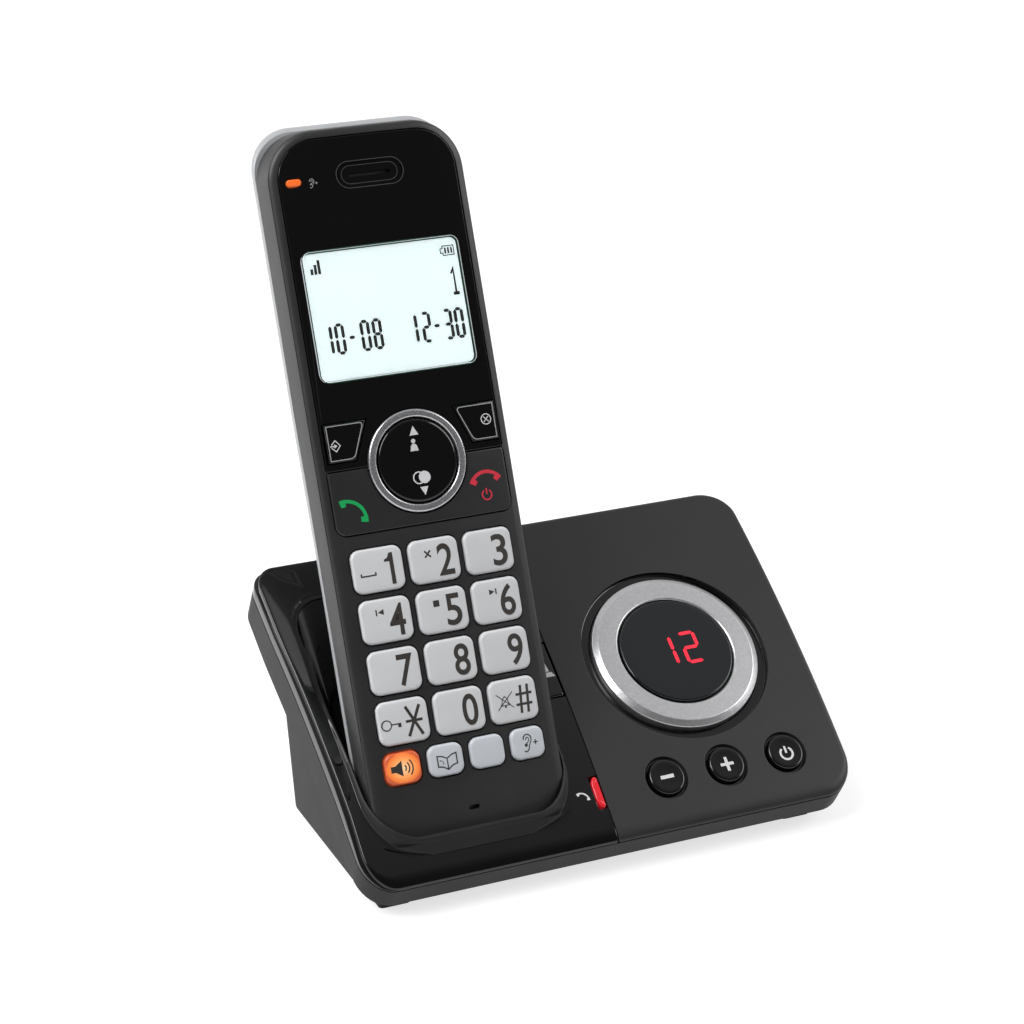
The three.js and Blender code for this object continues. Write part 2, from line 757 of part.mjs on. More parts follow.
piece(dialFrame, 'dial_pad', turned([
  [padInner, padBottom],
  [padOuter, padBottom],
  [padOuter, padTop],
  [padInner, padTop],
  [padInner, padBottom],
], 40), siliconeGrey);

const counterShare = 1.33;
const counterWidth = dialLensRadius * counterShare;
const counterLength = dialLensRadius;
piece(
  dialFrame,
  'counter_display',
  block(counterWidth, counterLength, -boardDepth + gap, lensBottom - gap),
  displayGreen,
);

// Circuit board of the base, square to the dial, and the pad of the three small keys
const boardLeft = 4;
const boardMargin = 3.5;
const boardRight = dialSideWidth - baseWall - boardMargin;
const boardFront = -34;
const boardBack = 32;
piece(dialFrame, 'base_board', block(
  boardRight - boardLeft,
  boardBack - boardFront,
  -boardDepth - boardThickness,
  -boardDepth,
  (boardLeft + boardRight) / 2 - dialAcross,
  (boardFront + boardBack) / 2,
), boardGreen);

const baseKeyFlange = 0.8;
const baseKeyBottom = -keyBossDepth - gap - baseKeyFlange;
baseKeyFrames.forEach((frame, i) => {
  const cap = turned([
    [0, baseKeyBottom],
    [baseKeyRadius + baseKeyFlange, baseKeyBottom],
    [baseKeyRadius + baseKeyFlange, baseKeyBottom + baseKeyFlange],
    [baseKeyRadius, baseKeyBottom + baseKeyFlange],
    [baseKeyRadius, baseKeyRise - dialChamfer],
    [baseKeyRadius - dialChamfer, baseKeyRise],
    [0, baseKeyRise],
  ], 24);
  piece(frame, baseKeyNames[i], cap, satinBlack);
});

const keyPadWidth = 2 * baseKeyPitch + baseKeyRadius;
const keyPadLength = 8;
const keyPadThickness = 0.8;
const baseKeyTravel = 0.8;
const toDial = dialFrame.matrix.clone().invert();
const keyCentre = new THREE.Vector3(0, 0, baseKeyBottom).applyMatrix4(baseKeyFrames[1].matrix).applyMatrix4(toDial);
piece(dialFrame, 'base_key_pad', block(
  keyPadWidth,
  keyPadLength,
  -boardDepth + gap,
  -boardDepth + gap + keyPadThickness,
  keyCentre.x,
  keyCentre.y + keyPadLength / 4,
), siliconeGrey);

// Page key and message lamp, both let into the cover's edge at the seam
const pageKeyRise = 0.2;
function pageKey() {
  const box = { x0: pageKeyLeft, x1: pageKeyRight, y0: pageKeyFront, y1: pageKeyBack };
  const flangeBox = { ...box, y0: box.y0 - pageKeyFlange, y1: box.y1 + pageKeyFlange };
  return loft([
    slabRing(flangeBox, 0, flangeTop + pageKeyFlange, sharp),
    slabRing(flangeBox, 0, flangeTop, sharp),
    slabRing(box, 0, flangeTop, sharp),
    slabRing(box, 0, 0, sharp),
    slabRing(box, pageKeyRise, -pageKeyRise, sharp),
  ]);
}
piece(base, 'page_key', pageKey(), glossBlack);

function messageLamp() {
  const box = { x0: lampLeft, x1: pageKeyRight, y0: lampFront, y1: lampBack };
  const corner = { x: 1, y: 2 };
  return loft([
    slabRing(box, 0, coverDepth, corner, 1),
    slabRing(box, 0, -pageKeyRise, corner, 1),
  ]);
}
piece(base, 'message_lamp', messageLamp(), redLens);

// Sockets in the pedestal's back wall
const socketWidth = 7;
const socketHeight = 7;
const socketDepth = 11;
function lineJack() {
  const low = floorTop + gap;
  const body = block(jackWidth, jackLength, low, low + jackHeight, jackAcross, jackBack - jackLength / 2);
  const mouth = block(
    socketWidth,
    socketDepth + overrun,
    low + (jackHeight - socketHeight) / 2,
    low + (jackHeight + socketHeight) / 2,
    jackAcross,
    jackBack - (socketDepth - overrun) / 2,
  );
  return cut(body, mouth);
}
piece(base, 'line_jack', lineJack(), satinBlack);

const inletRadius = 3;
const inletPin = 0.9;
const inletDepth = 9;
function powerInlet() {
  const low = floorTop + gap;
  const body = block(inletWidth, inletLength, low, low + inletHeight, inletAcross, jackBack - inletLength / 2);
  const alongY = (tool) => tool.rotateX(-Math.PI / 2).translate(inletAcross, jackBack, low + inletHeight / 2);
  const ringMouth = turned([
    [inletPin, -inletDepth],
    [inletRadius, -inletDepth],
    [inletRadius, overrun],
    [inletPin, overrun],
    [inletPin, -inletDepth],
  ], 24);
  return cut(body, alongY(ringMouth));
}
piece(base, 'power_inlet', powerInlet(), satinBlack);

// Loudspeaker on the floor of the pedestal
const speakerShare = 0.266;
const speakerPlaceShare = 0.502;
const speakerRadius = dialSideWidth * speakerShare;
const speakerHeight = 11;
const speakerAcross = dialSideWidth * speakerPlaceShare;
const speakerReach = 34;
piece(base, 'base_speaker', turned([
  [0, 0],
  [speakerRadius, 0],
  [speakerRadius, speakerHeight * 0.2],
  [speakerRadius * 0.6, speakerHeight * 0.55],
  [speakerRadius * 0.6, speakerHeight],
  [0, speakerHeight],
], 28).translate(speakerAcross, speakerReach, floorTop + gap), speakerSteel);

// Charging contacts: blades through the floor of the well
const bladeBottom = -4.5;
const bladeTop = 0.15;
function chargeBlade(side) {
  return block(contactWidth, bladeTop - bladeBottom, -contactThickness / 2, contactThickness / 2)
    .translate(side * contactAcross, (bladeTop + bladeBottom) / 2, contactOut)
    .applyMatrix4(handset.matrix);
}
piece(base, 'charge_contact_left', chargeBlade(-1), contactMetal);
piece(base, 'charge_contact_right', chargeBlade(1), contactMetal);

// Form of the handset
const handsetBox = { x0: -handsetWidth / 2, x1: handsetWidth / 2, y0: 0, y1: handsetLength };

function faceHeight(x) {
  return -faceCrown * (x / faceHalf) ** 2;
}

function faceTilt(x) {
  return Math.atan((2 * faceCrown * x) / faceHalf ** 2);
}

// A level ring of the handset, or one that lies a depth under the crowned face
function handsetRing(by, height, box = handsetBox, foot = footCorner, head = headCorner) {
  return outline(inset(box, by), pairs(shrink(foot, by), shrink(head, by))).map((p) => {
    const z = typeof height === 'function' ? height(p.x) : height;
    return new THREE.Vector3(p.x, p.y, z);
  });
}

// A ring of the handset's shell, drawn in at its sides and foot and, by its own measure, at its head
function shellRing(side, head, height) {
  const box = { ...inset(handsetBox, side), y0: handsetBox.y0, y1: handsetBox.y1 - head };
  return handsetRing(0, height, box, shrink(footCorner, side), shrink(headCorner, side));
}

function underFace(depth) {
  return (x) => faceHeight(x) - depth;
}

// Keys: each has a body that stands through the face and a wider flange that holds it in
const flangeDepth = 3.4;
const flangeThickness = 0.8;
const flangeWidth = 0.6;
const keyCrown = 0.35;

function keyRing(width, height, by, z, corner) {
  const box = inset({ x0: -width / 2, x1: width / 2, y0: -height / 2, y1: height / 2 }, by);
  return outline(box, pairs(shrink(corner, by)), keySteps).map((p) => new THREE.Vector3(p.x, p.y, z));
}

function keyCap(width, height, corner) {
  return loft([
    keyRing(width, height, -flangeWidth, -flangeDepth, corner),
    keyRing(width, height, -flangeWidth, flangeThickness - flangeDepth, corner),
    keyRing(width, height, 0, flangeThickness - flangeDepth, corner),
    keyRing(width, height, 0, keyRise - keyCrown, corner),
    keyRing(width, height, keyCrown * 1.5, keyRise, corner),
  ]);
}

function keyHole(width, height, corner) {
  return loft([
    keyRing(width, height, -keyGap, -housingWall * 2, corner),
    keyRing(width, height, -keyGap, keyRise + overrun, corner),
  ]);
}

function faceFrame(x, y) {
  const frame = new THREE.Group();
  frame.position.set(x, y, faceHeight(x));
  frame.rotation.y = faceTilt(x);
  frame.updateMatrix();
  handset.add(frame);
  return frame;
}

const keyPlaces = [];
const digitNames = ['1', '2', '3', '4', '5', '6', '7', '8', '9', 'star', '0', 'hash'];
digitNames.forEach((digit, i) => {
  const column = (i % 3) - 1;
  const row = Math.floor(i / 3);
  keyPlaces.push({
    name: `key_${digit}`,
    frame: faceFrame(column * keyPitchAcross, firstKeyRow - row * keyPitchAlong),
    width: keyWidth,
    height: keyHeight,
    corner: keyCorner,
    material: whiteKey,
  });
});
const functionNames = ['speaker_key', 'phonebook_key', 'recall_key', 'boost_key'];
functionNames.forEach((name, i) => {
  keyPlaces.push({
    name,
    frame: faceFrame((i - 1.5) * functionPitch, functionRow),
    width: functionWidth,
    height: functionHeight,
    corner: keyCorner,
    material: i === 0 ? orangeKey : greyKey,
  });
});
for (const place of keyPlaces) {
  piece(place.frame, place.name, keyCap(place.width, place.height, place.corner), place.material);
}

// Face panel, display, call plate, soft keys and rocker
const panelBox = { x0: -panelHalf, x1: panelHalf, y0: panelBottom, y1: faceTop - faceRim + gap };
const panelCorner = headCorner - faceRim - sideFlare;
const panelFootCorner = 0.6;
const windowBox = {
  x0: displayAcross - displayWidth / 2,
  x1: displayAcross + displayWidth / 2,
  y0: displayBottom,
  y1: displayTop,
};
const windowCorner = 2;
const earShare = 0.33;
const earWidth = handsetWidth * earShare;
const earLength = 6;
const earDish = 0.5;
const earSlotWidth = earWidth - earLength;
const earSlot = 0.9;
const lampInset = 3.2;
const lampDrop = 0.4;
const lampAcross = lampInset - panelHalf;
const lampHeight = earHeight - lampDrop;
const lampWidth = 3.6;
const lampThickness = 1.7;

const slotRoundShare = 0.49;
function slot(width, height, low, high, x, y) {
  const box = { x0: x - width / 2, x1: x + width / 2, y0: y - height / 2, y1: y + height / 2 };
  const ring = (z) => outline(box, pairs(height * slotRoundShare), keySteps)
    .map((p) => new THREE.Vector3(p.x, p.y, z));
  return loft([ring(low), ring(high)]);
}

function windowBlock(by, low, high) {
  const ring = (z) => outline(inset(windowBox, by), pairs(shrink(windowCorner, by)), keySteps)
    .map((p) => new THREE.Vector3(p.x, p.y, z));
  return loft([ring(low), ring(high)]);
}

// Outline of a soft key, for the right-hand one; the left-hand one is its mirror image
function softKeyPoints(by) {
  const slant = Math.atan2(softKeyInnerBottom - softKeyInnerTop, softKeyTop - softKeyBottom);
  const side = by / Math.cos(slant);
  const top = softKeyTop - by;
  const bottom = softKeyBottom + by;
  const inner = (y) => {
    const share = (softKeyTop - y) / (softKeyTop - softKeyBottom);
    return softKeyInnerTop + (softKeyInnerBottom - softKeyInnerTop) * share + side;
  };
  return [[inner(bottom), bottom], [softKeyOuter - by, bottom], [softKeyOuter - by, top], [inner(top), top]];
}

function softKeyBlock(side, by, low, high) {
  const points = softKeyPoints(by).map(([x, y]) => new THREE.Vector2(side * x, y));
  return plate(side > 0 ? points : points.reverse(), low, high);
}

const throughLow = -housingWall * 2;
const throughHigh = keyRise + overrun;
const panelTop = 0;
function facePanel() {
  const body = loft([
    handsetRing(0, underFace(panelDepth - gap), panelBox, panelFootCorner, panelCorner),
    handsetRing(0, underFace(panelTop), panelBox, panelFootCorner, panelCorner),
  ], rightMiddle());
  return cut(
    body,
    windowBlock(-gap, throughLow, throughHigh),
    bar(rockerRingRadius + gap, throughLow, throughHigh, 0, rockerHeight, 40),
    softKeyBlock(-1, -keyGap, throughLow, throughHigh),
    softKeyBlock(1, -keyGap, throughLow, throughHigh),
    slot(earWidth, earLength, -earDish, throughHigh, 0, earHeight),
    slot(earSlotWidth, earSlot, throughLow, throughHigh, 0, earHeight),
    slot(lampWidth + 2 * gap, lampThickness + 2 * gap, throughLow, throughHigh, lampAcross, lampHeight),
  );
}
piece(handset, 'face_panel', facePanel(), glossBlack);

const lensThickness = 1;
const lensInset = 0.25;
piece(handset, 'display_lens', windowBlock(0, -lensThickness - lensInset, -lensInset), clearLens);
const moduleBottom = -4.2;
const moduleInset = 0.4;
piece(handset, 'display_module', windowBlock(moduleInset, moduleBottom, -lensThickness - lensInset - gap), displayGreen);

const softKeyRise = 0.25;
const softKeyDepth = 2.8;
[['ok_key', -1], ['clear_key', 1]].forEach(([name, side]) => {
  const low = faceHeight(softKeyOuter) - softKeyDepth;
  const top = faceHeight(softKeyInnerBottom) + softKeyRise;
  piece(handset, name, softKeyBlock(side, 0, low, top), glossBlack);
});

const callPlateCorner = 2.5;
const callPlateBox = { x0: -panelHalf, x1: panelHalf, y0: callPlateBottom, y1: panelBottom - gap };
const callPlateThickness = 2;
const callRockGap = 0.4;
function callPlateBody(by, low, high) {
  return loft([
    handsetRing(by, underFace(low), callPlateBox, callPlateCorner, panelFootCorner),
    handsetRing(by, underFace(high), callPlateBox, callPlateCorner, panelFootCorner),
  ], rightMiddle());
}
piece(handset, 'call_plate', cut(
  callPlateBody(0, callPlateThickness, -softKeyRise),
  bar(rockerRingRadius + callRockGap, throughLow, throughHigh, 0, rockerHeight, 40),
), satinBlack);

const rockerGap = 0.45;
const ringInner = rockerRadius + rockerGap;
const ringRise = 0.5;
const ringDepth = 2.4;
piece(handset, 'rocker_ring', turned([
  [ringInner, -ringDepth],
  [rockerRingRadius, -ringDepth],
  [rockerRingRadius, ringRise - gap],
  [rockerRingRadius - gap, ringRise],
  [ringInner + gap, ringRise],
  [ringInner, ringRise - gap],
  [ringInner, -ringDepth],
], 40).translate(0, rockerHeight, 0), silver);

const rockerDish = 0.3;
piece(handset, 'nav_rocker', turned([
  [0, -ringDepth],
  [rockerRadius, -ringDepth],
  [rockerRadius, ringRise - gap],
  [rockerRadius * 0.9, ringRise],
  [rockerRadius * 0.4, ringRise - rockerDish],
  [0, ringRise - rockerDish],
], 40).translate(0, rockerHeight, 0), glossBlack);

piece(handset, 'call_lamp', slot(
  lampWidth,
  lampThickness,
  faceHeight(lampAcross) - housingWall,
  faceHeight(lampAcross) + softKeyRise,
  lampAcross,
  lampHeight,
), orangeLens);

// Front housing of the handset
const micHeight = 7;
const micWidth = 2.8;
const micSlot = 1.1;
const contactPlateWidth = 5;
const contactPlateDepth = 3;
// Levels of the front housing from the parting line to the face: how far its sides and its head are
// drawn in there, and the depth under the face
const partingHead = headFlare * 0.42;
const faceLevels = [
  { side: 0, head: partingHead, depth: frontDepth },
  { side: 0, head: headFlare * 0.62, depth: 2 * sideFlare },
  { side: sideFlare * 0.28, head: headFlare * 0.75, depth: sideFlare },
  { side: sideFlare * 0.7, head: headFlare * 0.9, depth: sideFlare * 0.3 },
  { side: sideFlare * 1.15, head: headFlare * 1.04, depth: 0 },
];
function frontHousing() {
  const outer = loft(faceLevels.map(({ side, head, depth }) => (
    shellRing(side, head, depth === frontDepth ? -frontDepth : underFace(depth))
  )), rightMiddle());
  const innerBox = inset(handsetBox, housingWall);
  const nearHead = { ...innerBox, y1: faceTop - housingWall };
  const inner = loft([
    handsetRing(0, -frontDepth - overrun, { ...innerBox, y1: innerBox.y1 - partingHead }, footCorner, headCorner),
    handsetRing(0, underFace(housingWall), nearHead, footCorner, headCorner),
  ], rightMiddle());
  const panelSeat = loft([
    handsetRing(-gap, underFace(panelDepth), panelBox, panelFootCorner, panelCorner),
    handsetRing(-gap, underFace(-overrun), panelBox, panelFootCorner, panelCorner),
  ], rightMiddle());
  return cut(
    outer,
    inner,
    panelSeat,
    callPlateBody(-gap, housingWall + overrun, -overrun),
    bar(rockerRingRadius + gap, throughLow, throughHigh, 0, rockerHeight, 40),
    windowBlock(-1, throughLow, throughHigh),
    softKeyBlock(-1, -keyGap, throughLow, throughHigh),
    softKeyBlock(1, -keyGap, throughLow, throughHigh),
    slot(earSlotWidth, earSlot, throughLow, throughHigh, 0, earHeight),
    slot(lampWidth + 2 * gap, lampThickness + 2 * gap, throughLow, throughHigh, lampAcross, lampHeight),
    slot(micWidth, micSlot, throughLow, throughHigh, 0, micHeight),
    ...keyPlaces.map((place) => keyHole(place.width, place.height, place.corner).applyMatrix4(place.frame.matrix)),
  );
}
piece(handset, 'front_housing', frontHousing(), handsetBlack);

// Rear housing of the handset, with the battery tray and the slots of the ringer
const doorDepth = 1.3;
const backFlat = handsetDepth - doorDepth;
// Levels of the rear housing. Depth is a share of its own depth. The others are shares of the handset's
// depth: how far its sides, its foot and its head are drawn in there, and its foot corners' radii.
const rearShares = [
  { depth: 0, side: 0, foot: 0, head: 0.04, footAcross: 0.4, footAlong: 0.4 },
  { depth: 0.2, side: 0.016, foot: 0, head: 0, footAcross: 0.41, footAlong: 0.51 },
  { depth: 0.5, side: 0.08, foot: 0.022, head: 0.004, footAcross: 0.44, footAlong: 0.73 },
  { depth: 0.72, side: 0.156, foot: 0.084, head: 0.044, footAcross: 0.47, footAlong: 0.95 },
  { depth: 0.88, side: 0.247, foot: 0.236, head: 0.116, footAcross: 0.455, footAlong: 1.02 },
  { depth: 1, side: 0.345, foot: 0.455, head: 0.236, footAcross: 0.436, footAlong: 1.02 },
];
const trayRoom = 0.8;
const trayHalf = 2 * cellRadius + trayRoom;
const trayShare = 0.3182;
const trayBottom = handsetLength * trayShare;
const springRoom = 2;
const trayTop = trayBottom + cellLength + springRoom;
const trayWall = 1.2;
const trayFloor = 13.8;
const ringerShare = 0.8;
const ringerHeight = handsetLength * ringerShare;
const ringerRadius = 10;
const ringerThickness = 5;
const grilleSlots = 5;
const grillePitch = 3;
const grilleWidth = 13;
const grilleSlot = 1.4;

function rearRings(by) {
  const top = frontDepth + gap;
  return rearShares.map((share) => {
    const depth = top + (backFlat - by - top) * share.depth;
    const box = {
      ...inset(handsetBox, by + share.side * handsetDepth),
      y0: by + share.foot * handsetDepth,
      y1: handsetLength - by - share.head * handsetDepth,
    };
    const foot = { x: share.footAcross * handsetDepth - by, y: share.footAlong * handsetDepth - by };
    return outline(box, pairs(foot, shrink(headCorner, by))).map((p) => new THREE.Vector3(p.x, p.y, -depth));
  });
}

function contactPocket(side, clearance) {
  const width = contactPlateWidth + 2 * clearance;
  const depth = contactPlateDepth + 2 * clearance;
  return block(width, 4 * housingWall, -depth / 2, depth / 2, side * contactAcross, 0).translate(0, 0, contactOut);
}

function rearHousing() {
  const outer = loft(rearRings(0));
  const innerRings = rearRings(housingWall);
  const lid = innerRings[0].map((p) => p.clone().setZ(-frontDepth + overrun));
  const tray = block(2 * (trayHalf + trayWall), trayTop - trayBottom + 2 * trayWall, -backFlat, -trayFloor, 0, (trayTop + trayBottom) / 2);
  const inner = cut(loft([lid, ...innerRings]), tray);
  const well = block(2 * trayHalf, trayTop - trayBottom, -backFlat - overrun, -trayFloor - trayWall, 0, (trayTop + trayBottom) / 2);
  const slots = Array.from({ length: grilleSlots }, (_, i) => (
    slot(grilleWidth, grilleSlot, -backFlat - overrun, -backFlat + 2 * housingWall, 0, ringerHeight + (i - (grilleSlots - 1) / 2) * grillePitch)
  ));
  return cut(outer, inner, well, ...slots, contactPocket(-1, gap), contactPocket(1, gap));
}
piece(handset, 'rear_housing', rearHousing(), silverGrey);

const doorShare = 0.305;
const doorHalf = handsetWidth * doorShare;
const doorFootMargin = 14;
const doorHeadMargin = 9.5;
const doorBottom = trayBottom - doorFootMargin;
const doorTop = trayTop + doorHeadMargin;
const doorCorner = 4;
const doorThickness = handsetDepth - backFlat - gap;
function batteryDoor() {
  const box = { x0: -doorHalf, x1: doorHalf, y0: doorBottom, y1: doorTop };
  const ring = (by, z) => outline(inset(box, by), pairs(shrink(doorCorner, by)), keySteps)
    .map((p) => new THREE.Vector3(p.x, p.y, z));
  return loft([
    ring(doorThickness * 0.6, -handsetDepth),
    ring(0, -handsetDepth + doorThickness * 0.6),
    ring(0, -backFlat - gap),
  ]);
}
piece(handset, 'battery_door', batteryDoor(), silverGrey);

// Battery cells: a can with its raised positive end, side by side and turned head to foot
const cellButton = 1.9;
const cellButtonHeight = 0.9;
function batteryCell(side) {
  const cell = turned([
    [0, 0],
    [cellRadius, 0],
    [cellRadius, cellLength - cellButtonHeight],
    [cellButton, cellLength - cellButtonHeight],
    [cellButton, cellLength],
    [0, cellLength],
  ], 20).rotateX(-Math.PI / 2);
  if (side > 0) cell.rotateX(Math.PI).translate(0, cellLength, 0);
  const depth = trayFloor + trayWall + gap + cellRadius;
  return cell.translate(side * (cellRadius + gap / 2), (trayBottom + trayTop - cellLength) / 2, -depth);
}
piece(handset, 'battery_cell_left', batteryCell(-1), cellSleeve);
piece(handset, 'battery_cell_right', batteryCell(1), cellSleeve);

// Inside the handset: key mat, circuit board, receiver, ringer, microphone and contacts
const matTop = -5.3;
const matThickness = 0.9;
const domeHeight = 0.4;
const sideDomeHeight = 0.12;
const domeRadius = 2.2;
const matMargin = 0.8;
const matHalf = handsetWidth / 2 - housingWall - matMargin;
const boardFoot = 10;
function keyMat() {
  const low = boardFoot;
  const high = softKeyTop;
  const sheet = block(2 * matHalf, high - low, matTop - matThickness, matTop, 0, (low + high) / 2);
  const domes = keyPlaces.map((place) => {
    const { x, y } = place.frame.position;
    const height = Math.abs(x) > keyPitchAcross / 2 ? sideDomeHeight : domeHeight;
    return bar(domeRadius, matTop - gap, matTop + height, x, y, 8, domeRadius * 0.7);
  });
  return join(sheet, ...domes);
}
piece(handset, 'key_mat', keyMat(), siliconeGrey);

const handsetBoardTop = matTop - matThickness - gap;
const boardHeadMargin = 2;
const handsetBoardBack = earHeight - boardHeadMargin;
piece(handset, 'handset_board', block(
  2 * matHalf,
  handsetBoardBack - boardFoot,
  handsetBoardTop - boardThickness,
  handsetBoardTop,
  0,
  (handsetBoardBack + boardFoot) / 2,
), boardGreen);

const receiverRadius = 7.5;
const receiverThickness = 3;
const receiverDrop = 1.5;
piece(handset, 'earpiece', turned([
  [0, -receiverThickness],
  [receiverRadius * 0.8, -receiverThickness],
  [receiverRadius, -receiverThickness * 0.6],
  [receiverRadius, 0],
  [0, 0],
], 24).translate(0, earHeight - receiverDrop, -housingWall - gap), speakerSteel);

piece(handset, 'ringer', turned([
  [0, 0],
  [ringerRadius, 0],
  [ringerRadius, ringerThickness * 0.4],
  [ringerRadius * 0.6, ringerThickness],
  [0, ringerThickness],
], 24).translate(0, ringerHeight, -backFlat + housingWall + gap), speakerSteel);

const micRadius = 2;
const micDepth = 2;
piece(handset, 'microphone', bar(micRadius, -housingWall - gap - micDepth, -housingWall - gap, 0, micHeight, 16), speakerSteel);

const contactLift = 0.5;
function handsetContact(side) {
  return block(
    contactPlateWidth,
    housingWall,
    -contactPlateDepth / 2,
    contactPlateDepth / 2,
    side * contactAcross,
    housingWall / 2,
  ).translate(0, contactLift, contactOut);
}
piece(handset, 'handset_contact_left', handsetContact(-1), contactMetal);
piece(handset, 'handset_contact_right', handsetContact(1), contactMetal);

// The origin is the middle of the footprint, on the table
machine.updateMatrixWorld(true);
const bounds = new THREE.Box3().setFromObject(machine, true);
const middle = bounds.getCenter(new THREE.Vector3());
machine.position.set(-middle.x, -middle.y, -bounds.min.z);

export default machine;
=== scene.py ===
"""Cordless telephone on the base of its answering machine.

The forms are worked in millimetres on the base's own lines, as in the part's source: the seam between the
two halves of the base is x = 0, its front edge y = 0 and the table z = 0. The handset has its own frame:
x across it, y from its foot, z out of its face.
"""
import math

import bmesh
import bpy
from mathutils import Matrix, Vector


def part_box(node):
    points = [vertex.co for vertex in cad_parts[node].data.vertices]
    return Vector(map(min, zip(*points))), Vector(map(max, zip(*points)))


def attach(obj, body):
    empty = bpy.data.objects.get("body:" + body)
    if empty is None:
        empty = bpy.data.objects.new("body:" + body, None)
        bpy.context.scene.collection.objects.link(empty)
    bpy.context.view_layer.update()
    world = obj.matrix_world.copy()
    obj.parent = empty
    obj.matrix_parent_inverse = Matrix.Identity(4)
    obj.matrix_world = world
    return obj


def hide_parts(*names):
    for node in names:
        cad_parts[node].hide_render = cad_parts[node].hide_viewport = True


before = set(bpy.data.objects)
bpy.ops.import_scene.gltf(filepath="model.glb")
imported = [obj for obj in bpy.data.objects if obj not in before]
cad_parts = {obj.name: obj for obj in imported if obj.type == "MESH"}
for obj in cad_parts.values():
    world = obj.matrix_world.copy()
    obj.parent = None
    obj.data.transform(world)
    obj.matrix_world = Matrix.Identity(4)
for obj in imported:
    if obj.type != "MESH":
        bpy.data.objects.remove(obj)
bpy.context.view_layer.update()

MM = 0.001
GAP = 0.3
HAIR = 0.01  # keeps round ends from meeting in a point

# Base
BASE_BOX = (-68.4, 67.7, 0.0, 76.8)
BASE_CORNER = (9.0, 7.6)
SHARP = (GAP, GAP)
NOSE_HEIGHT = 10.4
NOSE_SLOPE = math.radians(41.5)
TOP_RADIUS = 406.0
SLAB_SLOPE = math.radians(30.6)
UNDERSIDE_POINT = (4.7, 3.2)
BAND_HEIGHT = 7.3
BAND_DRAFT = 0.1
WALL = 2.0
TOP_WALL = 2.4
SEAM_WALL = 1.6
EDGE_ROUND = 1.3
EDGE_LAND = 0.2
NOSE_ROLL = 2.5
PARTING_LINE = (2.5, 0.04)
BAND_CORNER = (5.0, 5.2)
LEFT_LINE = ((0.0, 3.1), (18.0, 2.9), (42.0, 2.2), (60.0, 1.5))
PEDESTAL_BOX = (BASE_BOX[0] + 7.1, BASE_BOX[1] - 7.1, 9.6, 67.5)
PEDESTAL_CORNER = 4.5
PEDESTAL_LEAN = 10.2
PEDESTAL_BOTTOM = 1.2
FLOOR_TOP = PEDESTAL_BOTTOM + WALL
FOOT_PLACES = (
    ("foot_front_left", -55.4, 13.9),
    ("foot_front_right", 54.7, 13.9),
    ("foot_back_left", -55.4, 60.0),
    ("foot_back_right", 54.7, 60.0),
)
FOOT_SIZE = (8.2, 7.8)
FOOT_FORWARD = 0.6

# Cradle
HANDSET_ACROSS = -34.1
COVER_THICKNESS = 2.2
NARROW_BAND = 2.9
COVER_STEP = 0.55
PLATE_ROLL = 0.5
PLATE_CORNER = (6.2, 6.0)
PLATE_LINE = ((0.0, 0.8), (16.0, 0.75), (40.0, 0.4), (56.0, 0.0))
SEAM_GAP = 0.3
CRADLE_WALL = 1.5
WELL_HALF = 26.3
WELL_FRONT = 6.7
WELL_BACK = 67.0
WELL_CORNER = 11.9
MOUTH_HALF = 25.95
MOUTH_CORNER = 8.2
WELL_FACE = 1.1
LIP_PROFILE = (
    (0.0, 0.88), (0.07, 0.96), (0.18, 0.995), (0.32, 1.0), (0.48, 0.95), (0.62, 0.84), (0.75, 0.66), (0.88, 0.42),
    (0.98, 0.2), (1.07, 0.06), (1.2, 0.0))
LIP_SKIRT = LIP_PROFILE[-1][0]
LIP_FRONT = 1.35
LIP_HEIGHT = 2.8
LIP_REACH = 40.0
PLATE_DISH = 2.4

# Dial and round keys
DIAL_ACROSS = 33.0
DIAL_REACH = 36.4
DIAL_RECESS = 24.8
DIAL_RADIUS = 22.1
DIAL_LENS = 15.0
DIAL_LENS_TOP = 1.2
DIAL_RISE = 1.0
DIAL_BOTTOM = -2.4
ROUND_KEY_RADIUS = 4.7
ROUND_KEY_REACH = 10.0
ROUND_KEY_FACE = 0.51
PAGE_RISE = 0.2
ROUND_KEYS = (("volume_down_key", 17.6), ("volume_up_key", 34.4), ("power_key", 51.2))

# Handset
HANDSET_LENGTH = 176.0
HANDSET_HALF = 25.4
HANDSET_DEPTH = 27.5
HANDSET_LEAN = math.radians(66.4)
HANDSET_PLACE = (HANDSET_ACROSS, 7.7, 15.4)
FOOT_CORNER = 11.0
HEAD_CORNER = 12.5
FACE_HALF = 24.3
FACE_TOP = 172.9
FACE_CROWN = 1.46
FRONT_DEPTH = 9.6
SWELL = 0.012
HOUSING_WALL = 2.2
BACK_FLAT = HANDSET_DEPTH - 1.3
PANEL_HALF = 22.8
PANEL_FOOT = 92.0
PANEL_TOP = 171.3
PANEL_CORNER = 9.5
ROCKER_HEIGHT = 91.6
ROCKER_RADIUS = 10.1
ROCKER_RING = 12.5
ROCKER_DISH = 9.0
SOFT_KEY = (11.4, 15.2, 22.0, 94.0, 103.2)  # inner edge at its top and foot, outer edge, foot, top
SOFT_RISE = 0.25
CALL_RISE = 0.25
THROUGH_FACE = (-4.4, 2.0)
DISPLAY_FACE = -1.55
DOOR_BOX = (-15.5, 15.5, 42.0, 112.0)
BATTERY_MIDDLE = 79.25
CONTACT_ACROSS = 9.0
MIC_HEIGHT = 7.0
MIC_SLOT = (2.8, 1.1)
EAR_HEIGHT = 161.9
EAR_SIZE = (16.8, 6.0)
EAR_DISH = 0.5
EAR_SLOT = (10.8, 0.9)
LAMP_PLACE = (-19.2, 161.5)
LAMP_SIZE = (3.6, 1.7)
KEY_CORNER = 2.2
KEY_FLANGE = 0.6
KEY_RISE = 0.9
